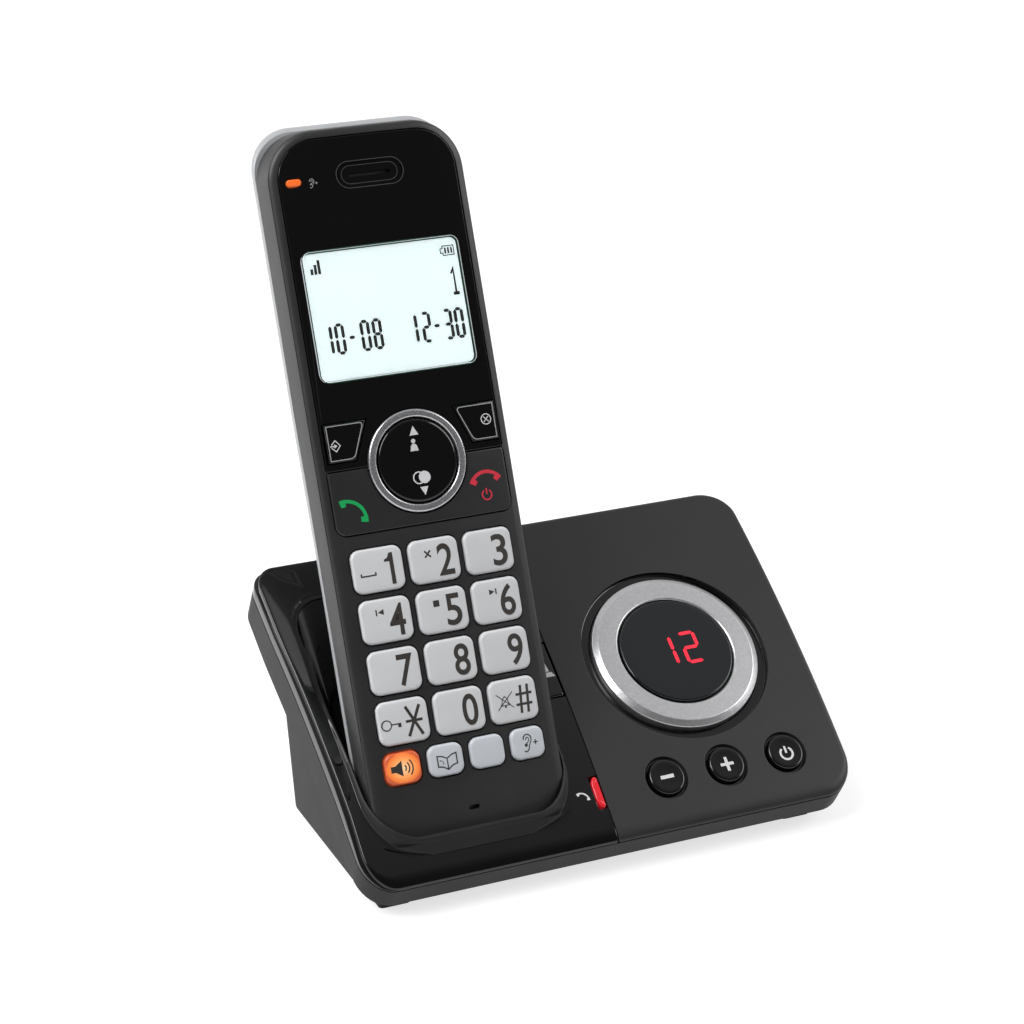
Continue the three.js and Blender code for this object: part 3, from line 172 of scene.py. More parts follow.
KEY_PRINT = 0.985


# The base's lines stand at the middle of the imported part's footprint
foot_low, foot_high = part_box("foot_front_left")
SHIFT = (foot_low + foot_high) / 2 - Vector((FOOT_PLACES[0][1], FOOT_PLACES[0][2], 0.0)) * MM
SHIFT.z = 0.0
BASE = Matrix.Identity(4)
HANDSET = Matrix.Translation(HANDSET_PLACE) @ Matrix.Rotation(HANDSET_LEAN, 4, "X")
rocker_frame = HANDSET @ Matrix.Translation((0.0, ROCKER_HEIGHT, 0.0))

# Camera, at the photograph's angle
CAMERA_PLACE = Vector((-264.67, -529.82, 337.06))
eye = bpy.data.cameras.new("camera")
eye.sensor_width = 36.0
eye.lens = 96.64
camera = bpy.data.objects.new("camera", eye)
bpy.context.scene.collection.objects.link(camera)
camera.location = CAMERA_PLACE * MM + SHIFT
camera.rotation_euler = (math.radians(90.0 - 22.105), 0.0, math.radians(-23.987))
bpy.context.scene.camera = camera
bpy.context.scene.view_settings.view_transform = "Standard"


# Meshes

def new_object(name, mesh):
    piece = bpy.data.objects.new(name, mesh)
    bpy.context.scene.collection.objects.link(piece)
    return piece


def shell(name, points, faces, place):
    """A closed mesh from points in millimetres, with its faces turned outwards."""
    mesh = bpy.data.meshes.new(name)
    mesh.from_pydata([(place @ Vector(p)) * MM + SHIFT for p in points], [], faces)
    work = bmesh.new()
    work.from_mesh(mesh)
    bmesh.ops.remove_doubles(work, verts=work.verts, dist=1e-7)
    bmesh.ops.recalc_face_normals(work, faces=work.faces)
    if work.calc_volume(signed=True) < 0:
        bmesh.ops.reverse_faces(work, faces=work.faces)
    work.to_mesh(mesh)
    work.free()
    return new_object(name, mesh)


def loft(name, rings, start=0, place=BASE):
    """A closed solid through rings of equal count, each end closed in strips."""
    count = len(rings[0])
    faces = []
    for level in range(len(rings) - 1):
        low = level * count
        for i in range(count):
            j = (i + 1) % count
            faces.append((low + i, low + j, low + count + j, low + count + i))
    for offset in (0, (len(rings) - 1) * count):
        def at(i):
            return offset + (start + i) % count
        faces.append((at(0), at(1), at(-1)))
        for i in range(1, count // 2 - 1):
            faces.append((at(i), at(i + 1), at(-i - 1), at(-i)))
        faces.append((at(count // 2 - 1), at(count // 2), at(1 - count // 2)))
    return shell(name, [p for ring in rings for p in ring], faces, place)


def turned(name, profile, place, steps):
    """A turned solid about z from a closed profile of (radius, height) points."""
    points = []
    faces = []
    rows = []
    for radius, height in profile:
        if radius < 1e-6:
            rows.append([len(points)] * steps)
            points.append((0.0, 0.0, height))
        else:
            rows.append(list(range(len(points), len(points) + steps)))
            for i in range(steps):
                angle = 2 * math.pi * i / steps
                points.append((radius * math.cos(angle), radius * math.sin(angle), height))
    for a, b in zip(rows, rows[1:] + rows[:1]):
        for i in range(steps):
            j = (i + 1) % steps
            face = []
            for v in (a[i], a[j], b[j], b[i]):
                if v not in face:
                    face.append(v)
            if len(face) > 2:
                faces.append(tuple(face))
    return shell(name, points, faces, place)


def bar(name, radius, low, high, place, at=(0.0, 0.0), steps=96):
    spot = place @ Matrix.Translation((at[0], at[1], 0.0))
    return turned(name, [(0.0, low), (radius, low), (radius, high), (0.0, high)], spot, steps)


def block(name, width, length, low, high, place, at=(0.0, 0.0)):
    x, y = at
    points = [
        (x + sx * width / 2, y + sy * length / 2, z)
        for z in (low, high) for sx, sy in ((-1, -1), (1, -1), (1, 1), (-1, 1))
    ]
    faces = [(0, 3, 2, 1), (4, 5, 6, 7), (0, 1, 5, 4), (1, 2, 6, 5), (2, 3, 7, 6), (3, 0, 4, 7)]
    return shell(name, points, faces, place)


def prism(name, points, low, high, place):
    count = len(points)
    verts = [(x, y, low) for x, y in points] + [(x, y, high) for x, y in points]
    faces = [tuple(range(count)), tuple(range(count, 2 * count))]
    faces += [(i, (i + 1) % count, count + (i + 1) % count, count + i) for i in range(count)]
    return shell(name, verts, faces, place)


def both(radius):
    return radius if isinstance(radius, tuple) else (radius, radius)


def even(front, back=None):
    """Radii of an outline whose two front corners, and whose two back corners, are alike."""
    back = front if back is None else back
    return (front, back, back, front)


def outline(box, radii, corner, side, end):
    """Rounded rectangle, anticlockwise from the middle of its front edge. Its radii are those of the
    front right, back right, back left and front left corner; the steps are those of each corner, side and end."""
    x0, x1, y0, y1 = box
    front_right, back_right, back_left, front_left = (both(radius) for radius in radii)
    points = []

    def run(a, b, steps):
        for i in range(steps):
            t = i / steps
            points.append((a[0] + (b[0] - a[0]) * t, a[1] + (b[1] - a[1]) * t))

    def arc(cx, cy, radius, begin):
        for i in range(corner):
            angle = begin + math.pi / 2 * i / corner
            points.append((cx + radius[0] * math.cos(angle), cy + radius[1] * math.sin(angle)))

    middle = (x0 + x1) / 2
    run((middle, y0), (x1 - front_right[0], y0), end // 2)
    arc(x1 - front_right[0], y0 + front_right[1], front_right, -math.pi / 2)
    run((x1, y0 + front_right[1]), (x1, y1 - back_right[1]), side)
    arc(x1 - back_right[0], y1 - back_right[1], back_right, 0.0)
    run((x1 - back_right[0], y1), (x0 + back_left[0], y1), end)
    arc(x0 + back_left[0], y1 - back_left[1], back_left, math.pi / 2)
    run((x0, y1 - back_left[1]), (x0, y0 + front_left[1]), side)
    arc(x0 + front_left[0], y0 + front_left[1], front_left, math.pi)
    run((x0 + front_left[0], y0), (middle, y0), end // 2)
    return points


def inset(box, by):
    return (box[0] + by, box[1] - by, box[2] + by, box[3] - by)


def grown(box, left, right, front, back):
    return (box[0] - left, box[1] + right, box[2] - front, box[3] + back)


def less(radius, by):
    """The radii of a corner whose sides are drawn in."""
    across, along = both(radius)
    return (max(across - by, GAP), max(along - by, GAP))


def box_round(x, y, width, height):
    return (x - width / 2, x + width / 2, y - height / 2, y + height / 2)


def level_ring(box, by, corner, z, steps=(8, 4, 4)):
    """A rounded rectangle at one height, drawn in on all sides."""
    return [Vector((x, y, z)) for x, y in outline(inset(box, by), even(less(corner, by)), *steps)]


def smooth(share):
    """A share held between 0 and 1, with soft ends."""
    share = min(max(share, 0.0), 1.0)
    return share * share * (3 - 2 * share)


def round_over(radius, steps):
    """(inset, depth) pairs down a rounded edge, from the face to the side."""
    pairs = []
    for i in range(steps + 1):
        angle = math.pi / 2 * i / steps
        pairs.append((radius * (1 - math.sin(angle)), radius * (1 - math.cos(angle))))
    return pairs


def smooth_rows(rows, steps):
    """More rows of numbers on a smooth curve through the given ones."""
    out = []
    for i in range(len(rows) - 1):
        p0, p1 = rows[max(i - 1, 0)], rows[i]
        p2, p3 = rows[i + 1], rows[min(i + 2, len(rows) - 1)]
        for step in range(steps):
            t = step / steps
            row = []
            for a, b, c, d in zip(p0, p1, p2, p3):
                bend = (2 * a - 5 * b + 4 * c - d) * t * t + (3 * b - a - 3 * c + d) * t ** 3
                row.append(0.5 * (2 * b + (c - a) * t + bend))
            out.append(row)
    out.append(list(rows[-1]))
    return out


def solved(piece):
    """Applies a piece's modifiers into a plain mesh."""
    graph = bpy.context.evaluated_depsgraph_get()
    mesh = bpy.data.meshes.new_from_object(piece.evaluated_get(graph))
    old = piece.data
    piece.modifiers.clear()
    piece.data = mesh
    mesh.name = piece.name
    bpy.data.meshes.remove(old)
    return piece


def combine(piece, others, operation):
    """Joins the others to a piece, or takes them from it, and uses them up."""
    for other in others:
        step = piece.modifiers.new("step", "BOOLEAN")
        step.operation = operation
        step.solver = "MANIFOLD"
        step.object = other
    solved(piece)
    for other in others:
        mesh = other.data
        bpy.data.objects.remove(other)
        bpy.data.meshes.remove(mesh)
    return piece


def carve(piece, *others):
    return combine(piece, others, "DIFFERENCE")


def weld(piece, *others):
    return combine(piece, others, "UNION")


def tidy(piece, edge=0.0, steps=2, angle=32.0, sharp=38.0, merge=True):
    """Rounds a piece's sharp edges, in millimetres, and sets its shading."""
    work = bmesh.new()
    work.from_mesh(piece.data)
    if merge:
        bmesh.ops.remove_doubles(work, verts=work.verts, dist=2e-6)
        bmesh.ops.dissolve_limit(work, angle_limit=math.radians(0.06), verts=work.verts, edges=work.edges)
    work.to_mesh(piece.data)
    work.free()
    if edge:
        bevel = piece.modifiers.new("edge", "BEVEL")
        bevel.width = edge * MM
        bevel.segments = steps
        bevel.limit_method = "ANGLE"
        bevel.angle_limit = math.radians(angle)
        bevel.use_clamp_overlap = True
        bevel.miter_outer = "MITER_ARC"
        solved(piece)
    piece.data.shade_smooth()
    piece.data.set_sharp_from_angle(angle=math.radians(sharp))
    weighted = piece.modifiers.new("even", "WEIGHTED_NORMAL")
    weighted.keep_sharp = True
    weighted.weight = 60
    return solved(piece)


def dress(piece, body, slot, finish, *nodes):
    """Gives a piece its finish, the body it rides on and the nodes it replaces."""
    piece.data.materials.clear()
    piece.data.materials.append(finish)
    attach(piece, body)
    if nodes:
        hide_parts(*nodes)
    return piece


def patch(piece, finish, place, belongs):
    """Gives the faces whose middle belongs, in a frame's millimetres, a finish of their own."""
    piece.data.materials.append(finish)
    index = len(piece.data.materials) - 1
    back = place.inverted()
    for face in piece.data.polygons:
        if belongs(back @ ((face.center - SHIFT) / MM)):
            face.material_index = index
    return piece


# Form of the base's slab

SLAB_STEPS = (12, 24, 8)
arc_reach = TOP_RADIUS * math.sin(NOSE_SLOPE)
arc_height = NOSE_HEIGHT - TOP_RADIUS * math.cos(NOSE_SLOPE)


def top_height(y):
    return arc_height + math.sqrt(TOP_RADIUS ** 2 - (y - arc_reach) ** 2)


def top_slope(y):
    return math.asin((arc_reach - y) / TOP_RADIUS)


def underside_height(y):
    return UNDERSIDE_POINT[1] + (y - UNDERSIDE_POINT[0]) * math.tan(SLAB_SLOPE)


def slab_depth(y):
    rise = top_height(y) - UNDERSIDE_POINT[1]
    return rise * math.cos(SLAB_SLOPE) - (y - UNDERSIDE_POINT[0]) * math.sin(SLAB_SLOPE)


def parting_depth(y):
    nose, back = slab_depth(y) - BAND_HEIGHT, PARTING_LINE[0] + PARTING_LINE[1] * y
    return (nose + back - math.hypot(nose - back, 0.5)) / 2


def along_line(line, y):
    """A value that follows the reach, straight between the given places."""
    for (ya, a), (yb, b) in zip(line, line[1:]):
        if y < yb:
            return a + (b - a) * max(y - ya, 0.0) / (yb - ya)
    return line[-1][1]


def drawn(x, y, plate=0.0):
    """The base's left side stands in from its box, more towards the nose, and the plate more than the band."""
    draw = along_line(LEFT_LINE, y) + plate * along_line(PLATE_LINE, y)
    return x + draw * min(max((-50.0 - x) / (-50.0 - BASE_BOX[0]), 0.0), 1.0)


def front_roll(y, side):
    """The width of the rounding along the top's edge: broad at the nose, and as given along the side."""
    return side + (NOSE_ROLL - side) * max(1.0 - y / BASE_CORNER[0], 0.0) ** 2


def edge_depth(y):
    return min(EDGE_ROUND, parting_depth(y) - EDGE_LAND)


def cover_depth(y):
    return min(COVER_THICKNESS, parting_depth(y) - EDGE_LAND)


def slab_point(x, y, depth, lift=0.0):
    return Vector((x, y + depth * math.sin(SLAB_SLOPE), top_height(y) - depth * math.cos(SLAB_SLOPE) + lift))


def slab_ring(box, by, depth, corner=BASE_CORNER, seam=0, back_left=None):
    """A ring of the slab, drawn in on all sides. A side on the seam (1 right, -1 left) stays, with
    sharp corners."""
    x0, x1, y0, y1 = inset(box, by)
    x0 = box[0] if seam < 0 else x0
    x1 = box[1] if seam > 0 else x1
    rounded = less(corner, by)
    right = SHARP if seam > 0 else rounded
    left = SHARP if seam < 0 else rounded
    behind = less(back_left, by) if back_left else left
    ring = []
    for x, y in outline((x0, x1, y0, y1), (right, right, behind, left), *SLAB_STEPS):
        ring.append(slab_point(drawn(x, y), y, depth(y) if callable(depth) else depth))
    return ring


def slab_block(name, box, by, top, bottom, corner):
    return loft(name, [slab_ring(box, by, bottom, corner), slab_ring(box, by, top, corner)])


def surface_frame(x, y):
    return Matrix.Translation((x, y, top_height(y))) @ Matrix.Rotation(top_slope(y), 4, "X")


dial_frame = surface_frame(DIAL_ACROSS, DIAL_REACH)
key_frames = {name: surface_frame(x, ROUND_KEY_REACH) for name, x in ROUND_KEYS}

PAGE_BOX = (HANDSET_ACROSS + WELL_HALF + CRADLE_WALL + 0.35, -SEAM_GAP - GAP, 31.6, 44.4)
LAMP_BOX = (-2.4, -SEAM_GAP - GAP, 6.8, 13.1)
TOP_BOX = (0.0, BASE_BOX[1], BASE_BOX[2], BASE_BOX[3])
COVER_BOX = (BASE_BOX[0], -SEAM_GAP, BASE_BOX[2], BASE_BOX[3])


# Top housing

def make_top_housing():
    def foot(y):
        return parting_depth(y) - min(0.2, 0.4 * (parting_depth(y) - edge_depth(y)))

    rings = [slab_ring(TOP_BOX, 0.2, parting_depth, seam=-1), slab_ring(TOP_BOX, 0.0, foot, seam=-1)]
    run_in = 3.0
    outer = outline(TOP_BOX, (BASE_CORNER, BASE_CORNER, SHARP, SHARP), *SLAB_STEPS)
    inner_corner = less(BASE_CORNER, run_in)
    inner = outline((TOP_BOX[0], TOP_BOX[1] - run_in, run_in, TOP_BOX[3] - run_in),
                    (inner_corner, inner_corner, SHARP, SHARP), *SLAB_STEPS)
    for by, depth in reversed(round_over(1.0, 7)):
        ring = []
        for (xa, ya), (xb, yb) in zip(outer, inner):
            share = by * front_roll(ya, EDGE_ROUND) / run_in
            ring.append(slab_point(xa + (xb - xa) * share, ya + (yb - ya) * share, depth * edge_depth(ya)))
        rings.append(ring)
    piece = loft("top_shell", rings)
    corner = (BASE_CORNER[0] - WALL, BASE_CORNER[1] - WALL)
    room = inset(BASE_BOX, WALL)
    void_box = (SEAM_WALL, room[1], room[2], room[3])
    void = loft("void", [
        slab_ring(void_box, 0.0, lambda y: parting_depth(y) + 1.0, corner, -1),
        slab_ring(void_box, 0.0, lambda y: min(TOP_WALL, parting_depth(y) + 0.5), corner, -1),
    ])
    bosses = [bar("boss", DIAL_RECESS + WALL, -5.0, 1.0, dial_frame)]
    bosses += [bar("boss", ROUND_KEY_RADIUS + 2.4, -2.8, 1.0, spot) for spot in key_frames.values()]
    carve(void, *bosses)
    dial_recess = turned("recess", [
        (0.0, -1.8), (DIAL_RECESS - 0.5, -1.8), (DIAL_RECESS - 0.15, -1.65), (DIAL_RECESS, -1.3),
        (DIAL_RECESS, -0.35), (DIAL_RECESS + 0.1, -0.1), (DIAL_RECESS + 0.4, 0.04), (DIAL_RECESS + 0.4, 5.0),
        (0.0, 5.0)], dial_frame, 160)
    dial_hole = bar("hole", DIAL_RADIUS + 0.4, -6.0, 0.0, dial_frame, steps=160)
    tools = [void, dial_recess, dial_hole]
    for spot in key_frames.values():
        seat = ROUND_KEY_RADIUS + 0.9
        tools.append(turned("seat", [
            (0.0, -1.0), (seat - 0.3, -1.0), (seat, -0.7), (seat, -0.3), (seat + 0.12, -0.08),
            (seat + 0.5, 0.06), (seat + 0.5, 1.0), (0.0, 1.0)], spot, 64))
        tools.append(bar("hole", ROUND_KEY_RADIUS + 0.35, -6.0, 0.0, spot, steps=64))
    carve(piece, *tools)
    return tidy(piece, 0.15, 2, 40.0)


# Bottom housing

def pedestal_ring(by, lift=None, height=None):
    """A ring of the leaning pedestal, level at a height or at a lift over the slab's underside."""
    y0, y1 = PEDESTAL_BOX[2:]
    stretch = (y1 + PEDESTAL_LEAN - y0) / (y1 - y0)
    ring = []
    for x, y in outline(inset(PEDESTAL_BOX, by), even(less(PEDESTAL_CORNER, by)), *SLAB_STEPS):
        if lift is None:
            ring.append(Vector((x, y, height)))
        else:
            reach = y0 + (y - y0) * stretch
            ring.append(Vector((x, reach, underside_height(reach) + lift)))
    return ring


def jack_hole(width, height, across):
    top = FLOOR_TOP + height + 2 * GAP
    return block("hole", width + 2 * GAP, 2 * PEDESTAL_LEAN, FLOOR_TOP, top, BASE, (across, PEDESTAL_BOX[3]))


def make_bottom_housing():
    levels = (
        (BAND_DRAFT + 0.6, slab_depth),
        (BAND_DRAFT + 0.2, lambda y: slab_depth(y) - 0.15),
        (BAND_DRAFT, lambda y: slab_depth(y) - 0.55),
        (0.0, lambda y: parting_depth(y) + GAP + 0.2),
        (0.2, lambda y: parting_depth(y) + GAP),
    )
    band = loft("bottom_shell", [slab_ring(BASE_BOX, by, depth, back_left=BAND_CORNER) for by, depth in levels])
    pedestal = loft("pedestal", [
        pedestal_ring(0.6, height=PEDESTAL_BOTTOM),
        pedestal_ring(0.15, height=PEDESTAL_BOTTOM + 0.2),
        pedestal_ring(0.0, height=PEDESTAL_BOTTOM + 0.7),
        pedestal_ring(0.0, lift=1.0),
    ])
    corner = (BASE_CORNER[0] - WALL, BASE_CORNER[1] - WALL)
    room = inset(BASE_BOX, WALL + BAND_DRAFT / 2)
    weld(band, pedestal)
    band_void = slab_block("void", room, 0.0, lambda y: parting_depth(y) - 1.0,
                           lambda y: slab_depth(y) - WALL, corner)
    pedestal_void = loft("void", [pedestal_ring(WALL, height=FLOOR_TOP), pedestal_ring(WALL, lift=4.0)])
    well_space = loft("space", [well_ring(level, CRADLE_WALL + GAP) for level in WELL_LEVELS]
                      + [cover_ring(CRADLE_WALL + GAP, 0.0, cover_depth)])
    tools = [band_void, pedestal_void, well_space, jack_hole(12, 12, 22.0), jack_hole(9.5, 10.5, 42.0)]
    tools += [bar("plug", 1.5, 0.0, FLOOR_TOP + 1.0, BASE, (x, y), 32) for _name, x, y in FOOT_PLACES]
    slot = slot_block("slot", 16.0, 1.2, 0.4, FLOOR_TOP + 0.5, place=BASE, steps=SMALL_SLOT_STEPS)
    tools.append(repeated("slots", slot, 11, 2.6, (34.0, 34.0, 0.0)))
    carve(band, *tools)
    return tidy(band, 0.12, 2, 40.0)


# Cradle cover

COVER_STEPS = (12, 16, 8)
# The well from its floor up: half width narrower by, back, height of the front and the rear edge, corners
WELL_LEVELS = (
    (10.7, 18.0, -0.5, -0.5, 4.0, (6.0, 6.0)),
    (5.5, 21.5, 0.9, 1.3, 5.0, (9.0, 9.0)),
    (2.4, 25.2, 1.9, 4.8, 6.0, (12.0, 14.0)),
    (0.0, 28.74, 2.7, 12.5, 7.0, (13.0, 16.0)),
)


def well_ring(level, by):
    narrow, back, front, rear, near, far = level
    half = WELL_HALF - narrow + by
    y0, y1 = -WELL_FACE - by, back + by
    ring = []
    for x, y in outline((-half, half, y0, y1), even(near + by, (far[0] + by, far[1] + by)), *COVER_STEPS):
        share = (y - y0) / (y1 - y0)
        ring.append(HANDSET @ Vector((x, front + (rear - front) * share - by, -y)))
    return ring


def mixed(a, b, share):
    return [p.lerp(q, share) for p, q in zip(a, b)]


def lip_rise(y):
    share = min(max((LIP_REACH - y) / (LIP_REACH - WELL_FRONT), 0.0), 1.0)
    return LIP_HEIGHT * share


def plate_dish(x, y):
    """How far the plate falls towards the well, behind and left of the lip."""
    left = min(max((HANDSET_ACROSS + 24.0 - x) / 30.0, 0.0), 1.0)
    return PLATE_DISH * left * smooth((y - 16.0) / 30.0)


def cover_outline(by):
    front = WELL_FRONT - by * (LIP_FRONT if by < LIP_SKIRT + GAP else 1.0)
    box = (HANDSET_ACROSS - MOUTH_HALF - by, HANDSET_ACROSS + MOUTH_HALF + by, front, WELL_BACK + by)
    return outline(box, even(WELL_CORNER + by, MOUTH_CORNER + by), *COVER_STEPS)


def cover_ring(by, rise, depth, dished=0.0):
    ring = []
    for x, y in cover_outline(by):
        down = depth(y) if callable(depth) else depth
        ring.append(slab_point(x, y, down + dished * plate_dish(x, y), rise * lip_rise(y)))
    return ring


def cover_edge_points(by, plate=0.0, seam_by=0.0):
    """The cover's edge, drawn in by a measure that may follow the reach. The plate has a wider back left
    corner than the narrow band below it. Each point comes with the reach of the outer edge beside it."""
    run_in = 4.5
    corner = tuple(a + (b - a) * plate for a, b in zip(BAND_CORNER, PLATE_CORNER))
    rows = []
    for inset_by in (0.0, run_in):
        drawn_in = inset(COVER_BOX, inset_by)
        radii = (SHARP, SHARP, less(corner, inset_by), less(BASE_CORNER, inset_by))
        rows.append(outline((drawn_in[0], COVER_BOX[1] - seam_by, *drawn_in[2:]), radii, *COVER_STEPS))
    points = []
    for (xa, ya), (xb, yb) in zip(*rows):
        share = (by(ya) if callable(by) else by) / run_in
        x, y = xa + (xb - xa) * share, ya + (yb - ya) * share
        points.append((drawn(x, y, plate), y, ya))
    return points


def cover_edge(by, depth, plate=0.0, seam_by=0.0):
    return [slab_point(x, y, depth(reach)) for x, y, reach in cover_edge_points(by, plate, seam_by)]


def step_share(y):
    return min(max((y - 5.0) / 10.0, 0.0), 1.0)


def step_width(y):
    return COVER_STEP * step_share(y)


def plate_roll(y):
    return front_roll(y, PLATE_ROLL)


def roll_depth(y):
    share = step_share(y)
    return edge_depth(y) * (1 - share) + 0.4 * share


def band_top(y):
    """The depth at which the narrow band begins, under the step."""
    share = step_share(y)
    return (edge_depth(y) + 0.02) * (1 - share) + max(parting_depth(y) - NARROW_BAND, 0.55) * share


def plate_ring(share):
    """A ring on the plate between the lip's skirt and the rounding at the cover's edge."""
    inner = cover_outline(LIP_SKIRT)
    outer = cover_edge_points(lambda y: step_width(y) + plate_roll(y) + 0.35, 1.0)
    ring = []
    for (xa, ya), (xb, yb, _reach) in zip(inner, outer):
        x, y = xa + (xb - xa) * share, ya + (yb - ya) * share
        ring.append(slab_point(x, y, plate_dish(xa, ya) * (1 - share)))
    return ring


def make_cradle_cover():
    levels = [well_ring(level, 0.0) for level in WELL_LEVELS]
    rings = [levels[0]]
    for a, b in zip(levels, levels[1:]):
        rings += [mixed(a, b, 0.5), b]
    mouth = cover_ring(0.0, 0.8, 0.5, 1.0)
    rings += [mixed(levels[-1], mouth, 0.5), mouth]
    for out, rise in LIP_PROFILE:
        rings.append(cover_ring(out, rise, 0.32 if out == 0.0 else (0.1 if out < 0.1 else 0.0), 1.0))
    rings += [plate_ring(share) for share in (0.2, 0.4, 0.6, 0.8, 1.0)]
    for by, depth in round_over(1.0, 7):
        rings.append(cover_edge(
            lambda y, b=by: step_width(y) + plate_roll(y) * b, lambda y, d=depth: roll_depth(y) * d, 1.0))

    def below(share):
        return lambda y: band_top(y) + (parting_depth(y) - band_top(y)) * share

    rings += [cover_edge(step_width, below(0.02), 1.0), cover_edge(lambda y: 0.1 * step_share(y), below(0.04)),
              cover_edge(0.0, below(0.09)), cover_edge(0.0, below(0.92)), cover_edge(0.2, parting_depth),
              cover_edge(WALL, parting_depth, 0.0, WALL), cover_edge(WALL, cover_depth, 0.0, WALL)]
    rings += [cover_ring(CRADLE_WALL + GAP, 0.0, cover_depth), cover_ring(CRADLE_WALL, 0.0, cover_depth)]
    rings += [well_ring(level, CRADLE_WALL) for level in reversed(WELL_LEVELS)]
    piece = loft("cradle_shell", rings)
    page = grown(PAGE_BOX, 0.35, 3.0, 0.35, 0.35)
    tools = [
        slab_block("page", page, 0.0, -1.0, COVER_THICKNESS + 0.5, SHARP),
        slab_block("page", grown(page, 0.0, 0.0, 1.2, 1.2), 0.0, COVER_THICKNESS, 4.8, SHARP),
        slab_block("lamp", grown(LAMP_BOX, GAP, 3.0, GAP, GAP), 0.0, -1.0, lambda y: cover_depth(y) + 0.15, SHARP),
    ]
    for side in (-1, 1):
        contact_spot = HANDSET @ Matrix.Translation((side * CONTACT_ACROSS, 0.0, -16.0))
        tools.append(block("slot", 4.6, 14.0, -0.6, 0.6, contact_spot))
    carve(piece, *tools)
    return tidy(piece, 0.08, 2, 50.0, 44.0)


# Pieces of the base's surface

def make_foot(name, x, y):
    box = grown(box_round(x, y, *FOOT_SIZE), 0.0, 0.0, FOOT_FORWARD, 0.0)
    levels = ((0.2, 0.0), (0.05, 0.06), (0.0, 0.2), (0.0, PEDESTAL_BOTTOM - 0.1))
    pad = loft(name + "_pad", [level_ring(box, by, 1.2, z, (6, 2, 2)) for by, z in levels])
    weld(pad, bar("plug", 1.4, 0.6, FLOOR_TOP - 0.1, BASE, (x, y), 32))
    return tidy(pad)


def make_dial_ring():
    inner = DIAL_LENS + 0.4
    profile = [
        (inner, DIAL_BOTTOM), (DIAL_RADIUS - 0.1, DIAL_BOTTOM), (DIAL_RADIUS, DIAL_BOTTOM + 0.1),
        (DIAL_RADIUS, -0.1), (DIAL_RADIUS - 0.05, 0.05), (DIAL_RADIUS - 0.2, 0.2), (DIAL_RADIUS - 1.45, 0.92),
        (DIAL_RADIUS - 1.6, 0.98), (DIAL_RADIUS - 1.75, DIAL_RISE), (inner + 0.62, DIAL_RISE),
        (inner + 0.46, DIAL_RISE), (inner + 0.34, 0.95), (inner + 0.04, 0.68), (inner, 0.56),
    ]
    return tidy(turned("dial_ring_key", profile, dial_frame, 192), sharp=30.0, merge=False)


def make_dial_lens():
    profile = [(0.0, -2.0), (DIAL_LENS, -2.0), (DIAL_LENS, 0.7)]
    profile += [(DIAL_LENS - by, DIAL_LENS_TOP - depth) for by, depth in reversed(round_over(0.5, 5))]
    profile += [(DIAL_LENS - 4.0, DIAL_LENS_TOP), (0.0, DIAL_LENS_TOP)]
    return tidy(turned("dial_glass", profile, dial_frame, 160), merge=False)


def make_round_key(name, spot):
    profile = [(0.0, -3.9), (5.5, -3.9), (5.5, -3.1), (ROUND_KEY_RADIUS, -3.1)]
    profile += [(ROUND_KEY_RADIUS - by, 0.6 - depth) for by, depth in reversed(round_over(0.55, 5))]
    profile += [(3.3, 0.56), (2.2, 0.5), (0.0, 0.46)]
    return tidy(turned(name + "_cap", profile, spot, 72), merge=False)


def make_page_key():
    wide = grown(PAGE_BOX, 0.0, 0.0, 1.2, 1.2)
    levels = [(wide, 0.0, 3.7), (wide, 0.0, 2.5), (PAGE_BOX, 0.0, 2.5)]
    levels += [(PAGE_BOX, by, depth - PAGE_RISE) for by, depth in reversed(round_over(0.4, 4))]
    rings = [slab_ring(box, by, depth, SHARP) for box, by, depth in levels]
    return tidy(loft("page_cap", rings), sharp=50.0)


def make_message_lamp():
    levels = [(0.0, cover_depth)] + [(by, depth - 0.2) for by, depth in reversed(round_over(0.35, 4))]
    rings = [slab_ring(LAMP_BOX, by, depth, (1.2, 2.2), 1) for by, depth in levels]
    return tidy(loft("message_lens", rings), sharp=50.0)


# Handset

def face_height(x):
    return -FACE_CROWN * (x / FACE_HALF) ** 2


def under_face(depth):
    return lambda x: face_height(x) - depth


HANDSET_BOX = (-HANDSET_HALF, HANDSET_HALF, 0.0, HANDSET_LENGTH)
HANDSET_STEPS = (16, 16, 24)
SMALL_SLOT_STEPS = (6, 2, 2)
SIDE = HANDSET_STEPS[2] // 2 + HANDSET_STEPS[0] + HANDSET_STEPS[1] // 2


def handset_ring(by, z, box, foot=FOOT_CORNER, head=HEAD_CORNER):
    ring = []
    for x, y in outline(inset(box, by), even(less(foot, by), less(head, by)), *HANDSET_STEPS):
        ring.append(Vector((x, y, z(x) if callable(z) else z)))
    return ring


def shell_ring(side, head, z, foot=0.0):
    """A ring of the shell, drawn in at its sides, at its foot and, by its own measure, at its head."""
    box = (-HANDSET_HALF + side, HANDSET_HALF - side, foot, HANDSET_LENGTH - head)
    return handset_ring(0.0, z, box, less(FOOT_CORNER, side), less(HEAD_CORNER, side))


PANEL_BOX = (-PANEL_HALF, PANEL_HALF, PANEL_FOOT, PANEL_TOP)
CALL_BOX = (-PANEL_HALF, PANEL_HALF, 76.3, PANEL_FOOT - GAP)
WINDOW_BOX = (-20.45, 19.85, 113.1, 144.6)


def handset_block(name, box, by, low, high, foot, head):
    rings = [handset_ring(by, low, box, foot, head), handset_ring(by, high, box, foot, head)]
    return loft(name, rings, SIDE, HANDSET)


def plain_block(name, box, by, low, high, corner, place=HANDSET, steps=(8, 4, 4)):
    return loft(name, [level_ring(box, by, corner, z, steps) for z in (low, high)], 0, place)


